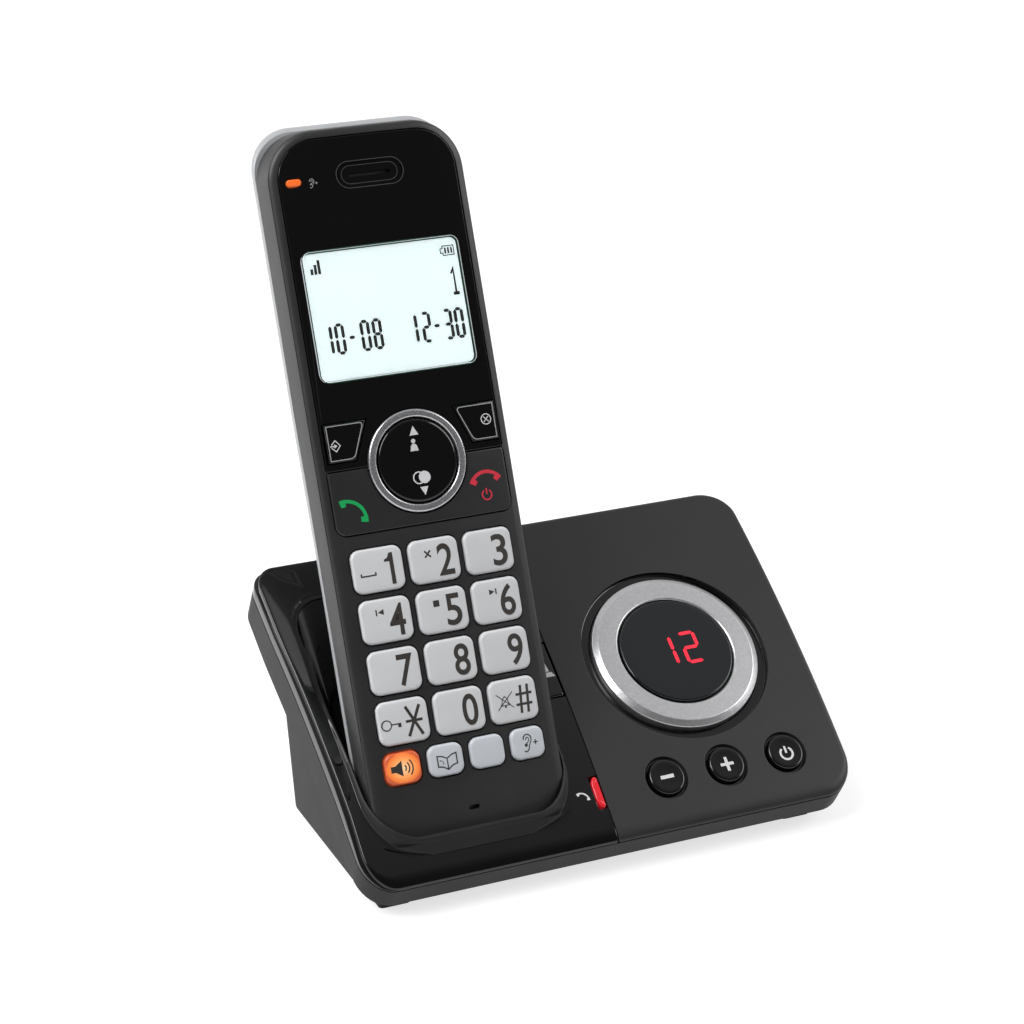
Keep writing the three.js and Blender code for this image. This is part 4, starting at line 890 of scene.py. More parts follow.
def soft_key_points(side, by):
    narrow, wide, outer, foot, top = SOFT_KEY
    reach = by / math.cos(math.atan2(wide - narrow, top - foot))
    low, high = foot + by, top - by

    def inner(y):
        return narrow + (wide - narrow) * (top - y) / (top - foot) + reach

    points = [(inner(low), low), (outer - by, low), (outer - by, high), (inner(high), high)]
    return [(side * x, y) for x, y in points]


def slot_block(name, width, height, low, high, x=0.0, y=0.0, place=HANDSET, steps=(8, 4, 4)):
    """A slot with round ends."""
    corner = min(width, height) / 2 - HAIR
    return plain_block(name, box_round(x, y, width, height), 0.0, low, high, corner, place, steps)


def ring_hole(clearance=GAP):
    return bar("ring", ROCKER_RING + clearance, *THROUGH_FACE, HANDSET, (0.0, ROCKER_HEIGHT))


def soft_holes():
    return [prism("soft", soft_key_points(side, -0.35), *THROUGH_FACE, HANDSET) for side in (-1, 1)]


def ear_and_lamp_holes():
    width, height = LAMP_SIZE
    return [slot_block("ear", *EAR_SLOT, *THROUGH_FACE, 0.0, EAR_HEIGHT),
            slot_block("lamp", width + 2 * GAP, height + 2 * GAP, *THROUGH_FACE, *LAMP_PLACE)]


def face_frame(x, y):
    tilt = math.atan(2 * FACE_CROWN * x / FACE_HALF ** 2)
    return HANDSET @ Matrix.Translation((x, y, face_height(x))) @ Matrix.Rotation(tilt, 4, "Y")


KEY_PLACES = {}
for index, digit in enumerate("123456789*0#"):
    label = {"*": "star", "#": "hash"}.get(digit, digit)
    KEY_PLACES["key_" + label] = ((index % 3 - 1) * 14.4, 67.26 - (index // 3) * 12.26, 12.7, 10.6)
for index, name in enumerate(("speaker_key", "phonebook_key", "recall_key", "boost_key")):
    KEY_PLACES[name] = ((index - 1.5) * 10.87, 19.5, 8.9, 7.7)


def key_ring(width, height, by, z):
    return level_ring(box_round(0.0, 0.0, width, height), by, KEY_CORNER, z)


def make_key(name, width, height, place):
    levels = [(-KEY_FLANGE, -3.4), (-KEY_FLANGE, -2.6), (0.0, -2.6)]
    levels += [(by, KEY_RISE - depth) for by, depth in reversed(round_over(0.75, 6))]
    levels += [(1.6, 0.97), (3.2, 1.0)]
    return tidy(loft(name, [key_ring(width, height, by, z) for by, z in levels], 0, place), merge=False)


# The front shell's edge: drawn in at its sides and at its head, and depth under the face
FACE_LEVELS = (
    (0.34, 2.36, 1.4),
    (0.40, 2.44, 1.22),
    (0.78, 2.74, 1.1),
    (0.78, 2.78, 0.86),
    (0.5, 2.56, 0.7),
    (0.66, 2.70, 0.45),
    (1.05, 3.0, 0.24),
    (1.7, 3.5, 0.08),
    (2.5, 4.0, 0.0),
)


def swelled(x, y, depth):
    """The shell is slightly wider behind its face from the call keys up to its head."""
    behind = min(max((depth - 1.0) / 8.0, 0.0), 1.0)
    return x * (1 + SWELL * smooth((y - 65.0) / 45.0) * behind)


def make_front_housing():
    rings = [shell_ring(0.12, 1.42, -FRONT_DEPTH), shell_ring(0.0, 1.30, -FRONT_DEPTH + 0.12)]
    rings.append(shell_ring(0.1, 1.75, under_face(4.0)))
    for side, head, depth in FACE_LEVELS:
        rings.append(shell_ring(side, head, under_face(depth), side * 0.8))
    for ring in rings:
        for point in ring:
            point.x = swelled(point.x, point.y, -point.z)
    piece = loft("handset_front", rings, SIDE, HANDSET)
    inner = inset(HANDSET_BOX, HOUSING_WALL)
    room = loft("room", [
        handset_ring(0.0, -FRONT_DEPTH - 1.0, (*inner[:3], inner[3] - 1.3)),
        handset_ring(0.0, under_face(HOUSING_WALL), (*inner[:3], FACE_TOP - HOUSING_WALL)),
    ], SIDE, HANDSET)
    seat = handset_block("seat", PANEL_BOX, -GAP, under_face(1.3), under_face(-1.0), 0.9, PANEL_CORNER + GAP)
    call = handset_block("call", CALL_BOX, -GAP, under_face(3.2), under_face(-1.0), 2.5 + GAP, 0.9)
    tools = [room, seat, call, ring_hole(), plain_block("window", WINDOW_BOX, -1.0, *THROUGH_FACE, 3.0)]
    tools += ear_and_lamp_holes() + [slot_block("mic", *MIC_SLOT, *THROUGH_FACE, 0.0, MIC_HEIGHT)] + soft_holes()
    levels = ((-0.35, THROUGH_FACE[0]), (-0.35, -0.25), (-0.42, -0.06), (-0.62, 0.02), (-0.62, THROUGH_FACE[1]))
    for x, y, width, height in KEY_PLACES.values():
        tools.append(loft("hole", [key_ring(width, height, by, z) for by, z in levels], 0, face_frame(x, y)))
    carve(piece, *tools)
    return tidy(piece, 0.1, 2, 40.0)


# The back shell by share of its depth: drawn in at its sides, foot and head, and its foot corners
REAR_LEVELS = (
    (0.0, 0.0, 0.0, 0.9, 11.0, 11.0),
    (0.13, 0.1, 0.0, -0.5, 11.3, 14.0),
    (0.451, 1.8, 0.6, -0.1, 12.1, 20.1),
    (0.693, 4.2, 2.3, 1.2, 12.9, 26.1),
    (0.868, 6.8, 6.5, 3.2, 12.5, 28.0),
    (1.0, 9.5, 12.5, 6.5, 12.0, 28.0),
)


def rear_rings(by):
    top = FRONT_DEPTH + GAP
    rings = []
    for share, side, foot, head, across, along in smooth_rows(REAR_LEVELS, 4):
        depth = top + (BACK_FLAT - by - top) * min(max(share, 0.0), 1.0)
        side, foot = max(side, 0.0), max(foot, 0.0)
        box = (-HANDSET_HALF + by + side, HANDSET_HALF - by - side, by + foot, HANDSET_LENGTH - by - head)
        points = outline(box, even((across - by, along - by), less(HEAD_CORNER - 2.0, by)), *HANDSET_STEPS)
        rings.append([Vector((swelled(x, y, depth), y, -depth)) for x, y in points])
    return rings


def make_rear_housing():
    piece = loft("handset_rear", rear_rings(0.0), SIDE, HANDSET)
    inner = rear_rings(HOUSING_WALL)
    lid = [Vector((p.x, p.y, -FRONT_DEPTH + 1.0)) for p in inner[0]]
    room = loft("room", [lid] + inner, SIDE, HANDSET)
    carve(room, block("tray", 25.0, 48.9, -BACK_FLAT, -13.8, HANDSET, (0.0, BATTERY_MIDDLE)))
    well = block("well", 22.6, 46.5, -BACK_FLAT - 1.0, -15.0, HANDSET, (0.0, BATTERY_MIDDLE))
    slot = slot_block("slot", 13.0, 1.4, -BACK_FLAT - 1.0, -BACK_FLAT + 4.4, steps=SMALL_SLOT_STEPS)
    tools = [room, well, repeated("grille", slot, 5, 3.0, (0.0, 140.8, 0.0), HANDSET)]
    for side in (-1, 1):
        tools.append(block("pocket", 5.6, 8.8, -17.8, -14.2, HANDSET, (side * CONTACT_ACROSS, 0.0)))
    carve(piece, *tools)
    return tidy(piece, 0.15, 2, 40.0)


def make_battery_door():
    levels = [(0.0, -BACK_FLAT - GAP)] + [(by, -HANDSET_DEPTH + z) for by, z in reversed(round_over(0.7, 4))]
    door = loft("door_panel", [level_ring(DOOR_BOX, by, 4.0, z) for by, z in levels], 0, HANDSET)
    groove = slot_block("groove", 14.0, 1.1, -HANDSET_DEPTH - 1.0, -HANDSET_DEPTH + 0.35, steps=SMALL_SLOT_STEPS)
    carve(door, repeated("grip", groove, 6, 2.2, (0.0, 50.0, 0.0), HANDSET))
    return tidy(door, 0.08, 2, 40.0)


def make_face_panel():
    rings = []
    for by, depth in ((0.0, 1.0), (0.0, 0.22), (0.06, 0.07), (0.2, 0.0)):
        rings.append(handset_ring(by, under_face(depth), PANEL_BOX, 0.6, PANEL_CORNER))
    piece = loft("face_gloss", rings, SIDE, HANDSET)
    window = plain_block("window", WINDOW_BOX, -GAP, *THROUGH_FACE, 2.3)
    dish = slot_block("ear", *EAR_SIZE, -EAR_DISH, THROUGH_FACE[1], 0.0, EAR_HEIGHT)
    carve(piece, ring_hole(), window, dish, *ear_and_lamp_holes(), *soft_holes())
    return tidy(piece, 0.1, 2, 40.0)


def make_call_plate():
    rings = []
    for by, depth in ((0.0, 2.0), (0.0, 0.05), (0.12, -0.15), (0.4, -0.25)):
        rings.append(handset_ring(by, under_face(depth), CALL_BOX, 2.5, 0.6))
    piece = loft("call_rocker", rings, SIDE, HANDSET)
    carve(piece, ring_hole(0.4))
    return tidy(piece, 0.12, 2, 40.0)


soft_top = face_height(SOFT_KEY[1]) + SOFT_RISE


def make_soft_key(name, side):
    low = face_height(SOFT_KEY[2]) - 2.8
    levels = [(0.0, low)] + [(by, soft_top - depth) for by, depth in reversed(round_over(0.3, 3))]
    points = [(x, y, z) for by, z in levels for x, y in soft_key_points(side, by)]
    faces = []
    for first in range(0, len(points) - 4, 4):
        for i in range(4):
            a, b = first + i, first + (i + 1) % 4
            faces.append((a, b, b + 4, a + 4))
    faces += [tuple(range(4)), tuple(range(len(points) - 4, len(points)))]
    return tidy(shell(name, points, faces, HANDSET))


def make_rocker_ring():
    inner = ROCKER_RADIUS + 0.45
    profile = [
        (inner, -2.4), (ROCKER_RING, -2.4), (ROCKER_RING, 0.08), (ROCKER_RING - 0.08, 0.26),
        (ROCKER_RING - 0.26, 0.42), (ROCKER_RING - 0.5, 0.5), (inner + 0.42, 0.5), (inner + 0.2, 0.43),
        (inner + 0.06, 0.28), (inner, 0.1),
    ]
    return tidy(turned("rocker_bezel", profile, rocker_frame, 160), sharp=50.0, merge=False)


def rocker_level(x, y):
    """The height of the navigation key's dished face."""
    share = 1 - min(math.hypot(x, y) / ROCKER_DISH, 1.0)
    return 0.2 + 0.29 * (0.5 + 0.5 * math.cos(math.pi * share))


def make_nav_rocker():
    profile = [(0.0, -2.4), (ROCKER_RADIUS, -2.4), (ROCKER_RADIUS, 0.05), (ROCKER_RADIUS - 0.1, 0.25),
               (ROCKER_RADIUS - 0.32, 0.4), (ROCKER_RADIUS - 0.8, 0.49)]
    for i in range(9):
        radius = ROCKER_DISH * (1 - i / 8)
        profile.append((radius, rocker_level(radius, 0.0)))
    return tidy(turned("rocker_key", profile, rocker_frame, 128), merge=False)


def make_display_lens():
    rings = [level_ring(WINDOW_BOX, by, 2.0, z) for by, z in ((0.0, -1.25), (0.0, -0.4), (0.15, -0.25))]
    return tidy(loft("display_glass", rings, 0, HANDSET))


def make_display_module():
    return tidy(plain_block("display_cell", WINDOW_BOX, 0.4, -4.2, DISPLAY_FACE, 2.0), 0.08)


def make_call_lamp():
    base = face_height(LAMP_PLACE[0])
    levels = ((0.0, base - 2.2), (0.0, base + 0.02), (0.1, base + 0.16), (0.32, base + 0.25))
    box = box_round(*LAMP_PLACE, *LAMP_SIZE)
    return tidy(loft("call_lens", [level_ring(box, by, 0.8, z) for by, z in levels], 0, HANDSET))


# Signs and figures: lists of flats, each its (x, y) points and its faces, raised a little over a surface

def area(points):
    return [(list(points), [tuple(range(len(points)))])]


def rectangle(x0, x1, y0, y1):
    return area([(x0, y0), (x1, y0), (x1, y1), (x0, y1)])


def strip(line, width, closed=False):
    """A drawn line of even width, with mitred corners."""
    points = []
    count = len(line)
    for i, (x, y) in enumerate(line):
        ways = []
        if closed or i:
            ways.append(Vector((x - line[i - 1][0], y - line[i - 1][1])).normalized())
        if closed or i < count - 1:
            after = line[(i + 1) % count]
            ways.append(Vector((after[0] - x, after[1] - y)).normalized())
        along = (ways[0] + ways[-1]).normalized()
        across = Vector((-along.y, along.x))
        reach = width / 2 / max(abs(across.dot(Vector((-ways[0].y, ways[0].x)))), 0.4)
        points += [(x + across.x * reach, y + across.y * reach), (x - across.x * reach, y - across.y * reach)]
    faces = []
    for i in range(count if closed else count - 1):
        a, b = 2 * i, 2 * ((i + 1) % count)
        faces.append((a, a + 1, b + 1, b))
    return [(points, faces)]


def strokes(width, *lines):
    """Straight lines of one width, each from x, y to x, y."""
    flats = []
    for xa, ya, xb, yb in lines:
        flats += strip([(xa, ya), (xb, yb)], width)
    return flats


def arc_line(x, y, radius, start, end, steps):
    line = []
    for i in range(steps + 1):
        angle = math.radians(start + (end - start) * i / steps)
        line.append((x + radius * math.cos(angle), y + radius * math.sin(angle)))
    return line


def disc(x, y, radius):
    return area(arc_line(x, y, radius, 0, 360, 28)[:-1])


def circle(x, y, radius, width):
    return strip(arc_line(x, y, radius, 0, 360, 32)[:-1], width, True)


def moved(flats, x, y, turn=0.0, scale=1.0):
    c, s = math.cos(math.radians(turn)) * scale, math.sin(math.radians(turn)) * scale
    return [([(x + px * c - py * s, y + px * s + py * c) for px, py in points], faces) for points, faces in flats]


def figure(text, width, height, x, y):
    """A printed figure fitted into a box round a point."""
    curve = bpy.data.curves.new("figure", "FONT")
    curve.body = text
    curve.offset = 0.014
    curve.resolution_u = 5
    draft = new_object("figure", curve)
    graph = bpy.context.evaluated_depsgraph_get()
    mesh = bpy.data.meshes.new_from_object(draft.evaluated_get(graph))
    points = [(v.co.x, v.co.y) for v in mesh.vertices]
    faces = []
    for face in mesh.polygons:
        faces.append(tuple(face.vertices) if face.normal.z > 0 else tuple(reversed(face.vertices)))
    bpy.data.objects.remove(draft)
    bpy.data.curves.remove(curve)
    bpy.data.meshes.remove(mesh)
    xs, ys = [p[0] for p in points], [p[1] for p in points]
    sx, sy = width / (max(xs) - min(xs)), height / (max(ys) - min(ys))
    cx, cy = (max(xs) + min(xs)) / 2, (max(ys) + min(ys)) / 2
    return [([(x + (px - cx) * sx, y + (py - cy) * sy) for px, py in points], faces)]


# The bars of each figure, clockwise from the top one; g is the middle one
SEGMENTS = {"0": "abcdef", "1": "bc", "2": "abged", "3": "abgcd", "8": "abcdefg", "-": "g"}


def segment_figure(text, x, y, width, height, thick):
    """A figure of up to seven bars round a point."""
    w, h = (width - thick) / 2, (height - thick) / 2
    ends = {"a": (-w, h, w, h), "b": (w, h, w, 0), "c": (w, 0, w, -h), "d": (w, -h, -w, -h), "e": (-w, -h, -w, 0),
            "f": (-w, 0, -w, h), "g": (-w, 0, w, 0)}
    flats = []
    for name in SEGMENTS[text]:
        xa, ya, xb, yb = ends[name]
        length = math.hypot(xb - xa, yb - ya)
        ux, uy = (xb - xa) / length, (yb - ya) / length
        half = thick / 2
        corners = []
        for along, across in ((0.1, 0.0), (0.6, -1.0), (-0.6, -1.0), (-0.1, 0.0), (-0.6, 1.0), (0.6, 1.0)):
            bx, by = (xa, ya) if along > 0 else (xb, yb)
            corners.append((x + bx + ux * along * thick - uy * across * half,
                            y + by + uy * along * thick + ux * across * half))
        flats += area(corners)
    return flats


def raised(name, flats, place, level=0.0, rise=0.035, sunk=0.12):
    """The flats as thin solids on a surface, whose height may follow x and y."""
    verts = []
    faces = []
    for order, (points, polygons) in enumerate(flats):
        start, count = len(verts), len(points)
        heights = [level(x, y) if callable(level) else level for x, y in points]
        verts += [(x, y, z + rise + 0.002 * order) for (x, y), z in zip(points, heights)]
        verts += [(x, y, z - sunk) for (x, y), z in zip(points, heights)]
        edges = set()
        for polygon in polygons:
            faces.append(tuple(start + i for i in polygon))
            faces.append(tuple(start + count + i for i in reversed(polygon)))
            edges.update(zip(polygon, polygon[1:] + polygon[:1]))
        for a, b in sorted(edges):
            if (b, a) not in edges:
                faces.append((start + b, start + a, start + count + a, start + count + b))
    return shell(name, verts, faces, place)


def handset_sign():
    flats = strip(arc_line(0.0, -4.0, 4.6, 146, 34, 18), 0.85)
    for start, end in ((150, 131), (30, 49)):
        flats += strip(arc_line(0.0, -4.0, 4.2, start, end, 4), 1.75)
    return flats


def power_sign(radius=1.25, width=0.36):
    ring = strip(arc_line(0.0, 0.0, radius, 125, 415, 24), width)
    return ring + strokes(width, (0.0, 0.1, 0.0, radius + 0.35))


def ear_sign():
    outer = [(-1.35, 1.0), (-1.2, 1.65), (-0.75, 2.1), (-0.15, 2.2), (0.45, 1.9), (0.8, 1.3), (0.78, 0.65),
             (0.45, 0.0), (0.1, -0.55), (-0.05, -1.2), (-0.4, -1.8), (-0.95, -2.0), (-1.4, -1.7)]
    inner = [(-0.75, 0.85), (-0.6, 1.3), (-0.2, 1.45), (0.15, 1.1), (0.1, 0.55), (-0.3, 0.15), (-0.75, -0.1)]
    flats = strip(outer, 0.27) + strip(inner, 0.22) + disc(-0.75, -0.4, 0.42)
    return flats + strokes(0.27, (1.25, 0.0, 2.45, 0.0), (1.85, -0.6, 1.85, 0.6))


def key_sign(name):
    """The small sign at the left of a number key."""
    if name == "key_1":
        return strip([(-4.45, -0.45), (-4.45, -1.15), (-0.85, -1.15), (-0.85, -0.45)], 0.36)
    if name == "key_2":
        return strokes(0.42, (-2.5, 0.9, -1.0, 2.5), (-2.5, 2.5, -1.0, 0.9))
    if name == "key_4":
        return rectangle(-2.5, -2.15, 1.35, 2.85) + area([(-1.95, 2.1), (-0.5, 1.4), (-0.5, 2.8)])
    if name == "key_5":
        return rectangle(-2.4, -0.85, 1.1, 2.65)
    if name == "key_6":
        return area([(-2.0, 1.55), (-0.55, 2.25), (-2.0, 2.95)]) + rectangle(-0.35, 0.0, 1.55, 2.95)
    if name == "key_star":
        bit = strokes(0.3, (-3.05, -0.3, -0.7, -0.3)) + rectangle(-1.5, -0.7, -1.15, -0.4)
        return circle(-4.35, -0.3, 1.2, 0.26) + bit
    if name == "key_hash":
        bell = [(-1.25, -0.9), (-0.85, -0.3), (-0.7, 0.5), (-0.35, 0.95), (0.0, 1.3), (0.35, 0.95), (0.7, 0.5),
                (0.85, -0.3), (1.25, -0.9)]
        flats = strip(bell, 0.2, True) + disc(0.0, -1.25, 0.28)
        flats += strokes(0.2, (-2.1, -1.85, 2.2, 2.1), (-2.2, 1.95, 2.2, -1.75))
        return moved(flats, -2.55, 0.0)
    return []


def number_sign(name):
    """The big figure at the right of a number key."""
    label = name[4:]
    if label == "star":
        flats = strokes(0.72, (-1.75, -3.6, 1.75, 3.6), (-1.75, 3.6, 1.75, -3.6))
        return moved(flats + strokes(0.66, (-2.1, 0.0, 2.1, 0.0)), 2.6, -0.15)
    if label == "hash":
        flats = strokes(0.66, (-1.1, -3.4, -0.55, 3.4), (0.75, -3.4, 1.3, 3.4))
        return moved(flats + strokes(0.62, (-2.1, 1.25, 2.25, 1.25), (-2.25, -1.25, 2.1, -1.25)), 2.6, -0.1)
    if label == "1":
        one = [(-1.25, 2.3), (-0.45, 2.6), (0.15, 3.8), (1.0, 3.8), (1.0, -3.8), (0.0, -3.8), (0.0, 1.75),
               (-1.25, 1.75)]
        return moved(area(one), 2.9, -0.15)
    return figure(label, 4.0, 7.7, 2.6, -0.15)


def loudspeaker_sign():
    flats = area([(-3.1, -0.75), (-2.0, -0.75), (-0.3, -1.9), (-0.3, 1.9), (-2.0, 0.75), (-3.1, 0.75)])
    for radius in (1.0, 1.85, 2.7):
        flats += strip(arc_line(-0.35, 0.0, radius, -42, 42, 10), 0.32)
    return flats


def book_sign():
    flats = strip([(-2.3, 1.2), (-2.3, -1.35), (-1.1, -1.55), (0.15, -2.3), (1.4, -1.45), (2.6, -1.2), (2.6, 1.35),
                   (1.4, 1.1), (0.15, 0.35), (-1.1, 1.0)], 0.3, True)
    flats += strokes(0.26, (0.15, 0.2, 0.15, -2.1))
    return flats + moved(handset_sign(), -1.15, -0.25, -45, 0.17)


def capsule_line(width, height, line):
    """A thin line round a slot with round ends."""
    half = (width - height) / 2
    points = arc_line(half, 0.0, height / 2, -90, 90, 14) + arc_line(-half, 0.0, height / 2, 90, 270, 14)
    return strip(points, line, True)


def soft_outline(side):
    """The thin line round a soft key, with its inner corners eased."""
    points = soft_key_points(side, 0.45)
    line = []
    for i, (x, y) in enumerate(points):
        if i in (0, 3):
            before, after = points[i - 1], points[(i + 1) % 4]
            for t in (0.0, 0.25, 0.5, 0.75, 1.0):
                to_before = Vector((before[0] - x, before[1] - y)).normalized()
                to_after = Vector((after[0] - x, after[1] - y)).normalized()
                a, b = (1 - t) ** 2 * 1.1, t ** 2 * 1.1
                line.append((x + to_before.x * a + to_after.x * b, y + to_before.y * a + to_after.y * b))
        else:
            line.append((x, y))
    return strip(line, 0.24, True)


def diamond_sign():
    flats = strip([(-1.1, 0.35), (0.0, 1.35), (1.15, 0.0), (0.0, -1.35), (-1.1, -0.35)], 0.22)
    return flats + strokes(0.26, (-1.4, 0.0, -0.2, 0.0)) + area([(-0.35, -0.5), (0.45, 0.0), (-0.35, 0.5)])


def crossed_sign():
    return circle(0.0, 0.0, 1.25, 0.24) + strokes(0.22, (-0.65, -0.65, 0.65, 0.65), (-0.65, 0.65, 0.65, -0.65))


def rocker_signs():
    flats = area([(-1.15, 6.15), (1.15, 6.15), (0.0, 8.4)])
    shoulders = [(-1.45, 2.35), (0.65, 2.35), (0.35, 3.6), (-0.1, 4.1), (-0.8, 4.1), (-1.2, 3.6)]
    flats += disc(-0.45, 4.75, 0.55) + area(shoulders)
    flats += disc(1.0, -4.2, 1.5) + strip(arc_line(-0.45, -4.2, 1.4, 60, 300, 18), 0.3)
    return flats + area([(-0.6, -6.45), (0.45, -8.55), (1.5, -6.45)])


def display_signs():
    flats = []
    for i, height in enumerate((1.4, 2.4, 3.4)):
        x = -18.6 + 0.95 * i
        flats += rectangle(x, x + 0.7, 139.2, 139.2 + height)
    flats += strip([(15.7, 139.9), (18.6, 139.9), (18.6, 142.2), (15.7, 142.2), (15.7, 141.6), (15.1, 141.6),
                    (15.1, 140.5), (15.7, 140.5)], 0.24, True)
    for x in (16.15, 16.95, 17.75):
        flats += rectangle(x, x + 0.45, 140.3, 141.8)
    flats += strip([(16.9, 135.3), (17.6, 136.6), (17.6, 130.4)], 0.55)
    flats += rectangle(16.8, 18.4, 130.05, 130.85)
    for text, x in (("1", -17.0), ("0", -13.9), ("-", -10.9), ("0", -7.4), ("8", -4.3),
                    ("1", 4.9), ("2", 8.4), ("-", 11.1), ("3", 14.1), ("0", 17.1)):
        flats += segment_figure(text, x, 123.2, 2.5, 7.6, 0.8)
    return flats


def counter_figures():
    flats = segment_figure("1", -2.65, 0.05, 4.5, 9.0, 0.9)
    return flats + segment_figure("2", 4.1, 0.05, 4.9, 9.4, 0.9)


# What repeats: one small solid set in a row by Geometry Nodes

def wire(tree, *joins):
    """Joins given as (node, its output, next node, its input)."""
    for source, output, target, socket in joins:
        tree.links.new(source.outputs[output], target.inputs[socket])


def row_tree():
    """Copies of the incoming mesh along a line, made one plain mesh with one finish."""
    tree = bpy.data.node_groups.new("row of copies", "GeometryNodeTree")
    for name, kind in (("Geometry", "Geometry"), ("Count", "Int"), ("Pitch", "Vector"), ("Start", "Vector"),
                       ("Finish", "Material")):
        tree.interface.new_socket(name, in_out="INPUT", socket_type="NodeSocket" + kind)
    tree.interface.new_socket("Geometry", in_out="OUTPUT", socket_type="NodeSocketGeometry")
    given = tree.nodes.new("NodeGroupInput")
    result = tree.nodes.new("NodeGroupOutput")
    line = tree.nodes.new("GeometryNodeMeshLine")
    line.mode = "OFFSET"
    copies = tree.nodes.new("GeometryNodeInstanceOnPoints")
    plain = tree.nodes.new("GeometryNodeRealizeInstances")
    finished = tree.nodes.new("GeometryNodeSetMaterial")
    wire(tree, (given, "Count", line, "Count"), (given, "Start", line, "Start Location"),
         (given, "Pitch", line, "Offset"), (line, "Mesh", copies, "Points"),
         (given, "Geometry", copies, "Instance"), (copies, "Instances", plain, "Geometry"),
         (plain, "Geometry", finished, "Geometry"), (given, "Finish", finished, "Material"),
         (finished, "Geometry", result, "Geometry"))
    return tree


ROW = row_tree()


def repeated(name, piece, count, pitch, middle, place=BASE):
    """The piece, drawn round its place's origin, repeated in a row along y about the middle."""
    turn = place.to_3x3()
    direction = turn @ Vector((0.0, 1.0, 0.0))
    first = turn @ Vector(middle) - direction * (pitch * (count - 1) / 2)
    modifier = piece.modifiers.new("row", "NODES")
    modifier.node_group = ROW
    values = {"Count": count, "Pitch": direction * (pitch * MM), "Start": first * MM}
    for socket in ROW.interface.items_tree:
        if socket.in_out == "INPUT" and socket.name in values:
            modifier[socket.identifier] = values[socket.name]
    solved(piece)
    piece.name = name
    return piece


# Finishes

GRAIN_HEIGHT = 0.00004  # metres
TURNING_HEIGHT = 0.00003


def linear(r, g, b):
    return tuple(((c / 255 + 0.055) / 1.055) ** 2.4 if c > 10 else c / 255 / 12.92 for c in (r, g, b))


def new_finish(name):
    finish = bpy.data.materials.new(name)
    finish.use_nodes = True
    return finish, finish.node_tree


def set_inputs(node, **values):
    """Sets a node's inputs. An underscore in a name stands for a space."""
    for name, value in values.items():
        node.inputs[name.replace("_", " ")].default_value = value
    return node


def add_node(tree, kind, operation=None, **values):
    node = tree.nodes.new(kind)
    if operation:
        node.operation = operation
    return set_inputs(node, **values)


def colour_stops(ramp, stops):
    elements = ramp.color_ramp.elements
    while len(elements) < len(stops):
        elements.new(0.5)
    for element, (position, color) in zip(elements, stops):
        element.position = position
        element.color = (*color, 1.0)


def plastic(name, color, roughness, grain=0.0, grain_scale=2600.0, vary=0.05, mottle=0.05, specular=0.5,
            metallic=0.0, shade_scale=90.0):
    """A moulded plastic: a fine grain in relief, and slight unevenness of its gloss and its colour."""
    finish, tree = new_finish(name)
    shader = set_inputs(tree.nodes["Principled BSDF"], Metallic=metallic, Specular_IOR_Level=specular)
    where = add_node(tree, "ShaderNodeTexCoord")
    wear = add_node(tree, "ShaderNodeTexNoise", Scale=shade_scale, Detail=4.0)
    spread = add_node(tree, "ShaderNodeMapRange",
                      To_Min=max(roughness - vary, 0.02), To_Max=min(roughness + vary, 1.0))
    tint = add_node(tree, "ShaderNodeValToRGB")
    darker = tuple(c * (1 - mottle) for c in color)
    lighter = tuple(min(c * (1 + mottle), 1.0) for c in color)
    colour_stops(tint, ((0.3, darker), (0.7, lighter)))
    wire(tree, (where, "Object", wear, "Vector"), (wear, "Fac", spread, "Value"),
         (spread, "Result", shader, "Roughness"), (wear, "Fac", tint, "Fac"), (tint, "Color", shader, "Base Color"))
    if grain:
        fine = add_node(tree, "ShaderNodeTexNoise", Scale=grain_scale, Detail=3.0)
        bump = add_node(tree, "ShaderNodeBump", Strength=grain, Distance=GRAIN_HEIGHT)
        wire(tree, (where, "Object", fine, "Vector"), (fine, "Fac", bump, "Height"),
             (bump, "Normal", shader, "Normal"))
    return finish


def local_coordinates(tree, place):
    """Object coordinates turned into a piece's own frame."""
    back = place.to_3x3().inverted()
    where = add_node(tree, "ShaderNodeTexCoord")
    mapping = add_node(tree, "ShaderNodeMapping", Rotation=back.to_euler(),
                       Location=-(back @ (place.translation * MM + SHIFT)))
    wire(tree, (where, "Object", mapping, "Vector"))
    return mapping


def turned_metal(name, color, roughness, place):
    """Metal with a fine turned grain round a frame's axis."""
    finish = plastic(name, color, roughness, metallic=0.85, vary=0.06, mottle=0.08, shade_scale=1500.0)
    tree = finish.node_tree
    local = local_coordinates(tree, place)
    flat = add_node(tree, "ShaderNodeVectorMath", "MULTIPLY")
    flat.inputs[1].default_value = (1.0, 1.0, 0.0)
    length = add_node(tree, "ShaderNodeVectorMath", "LENGTH")
    lines = tree.nodes.new("ShaderNodeTexNoise")
    lines.noise_dimensions = "1D"
    set_inputs(lines, Scale=9000.0, Detail=2.0)
    bump = add_node(tree, "ShaderNodeBump", Strength=0.35, Distance=TURNING_HEIGHT)
    wire(tree, (local, "Vector", flat, 0), (flat, "Vector", length, 0), (length, "Value", lines, "W"),
         (lines, "Fac", bump, "Height"), (bump, "Normal", tree.nodes["Principled BSDF"], "Normal"))
    return finish


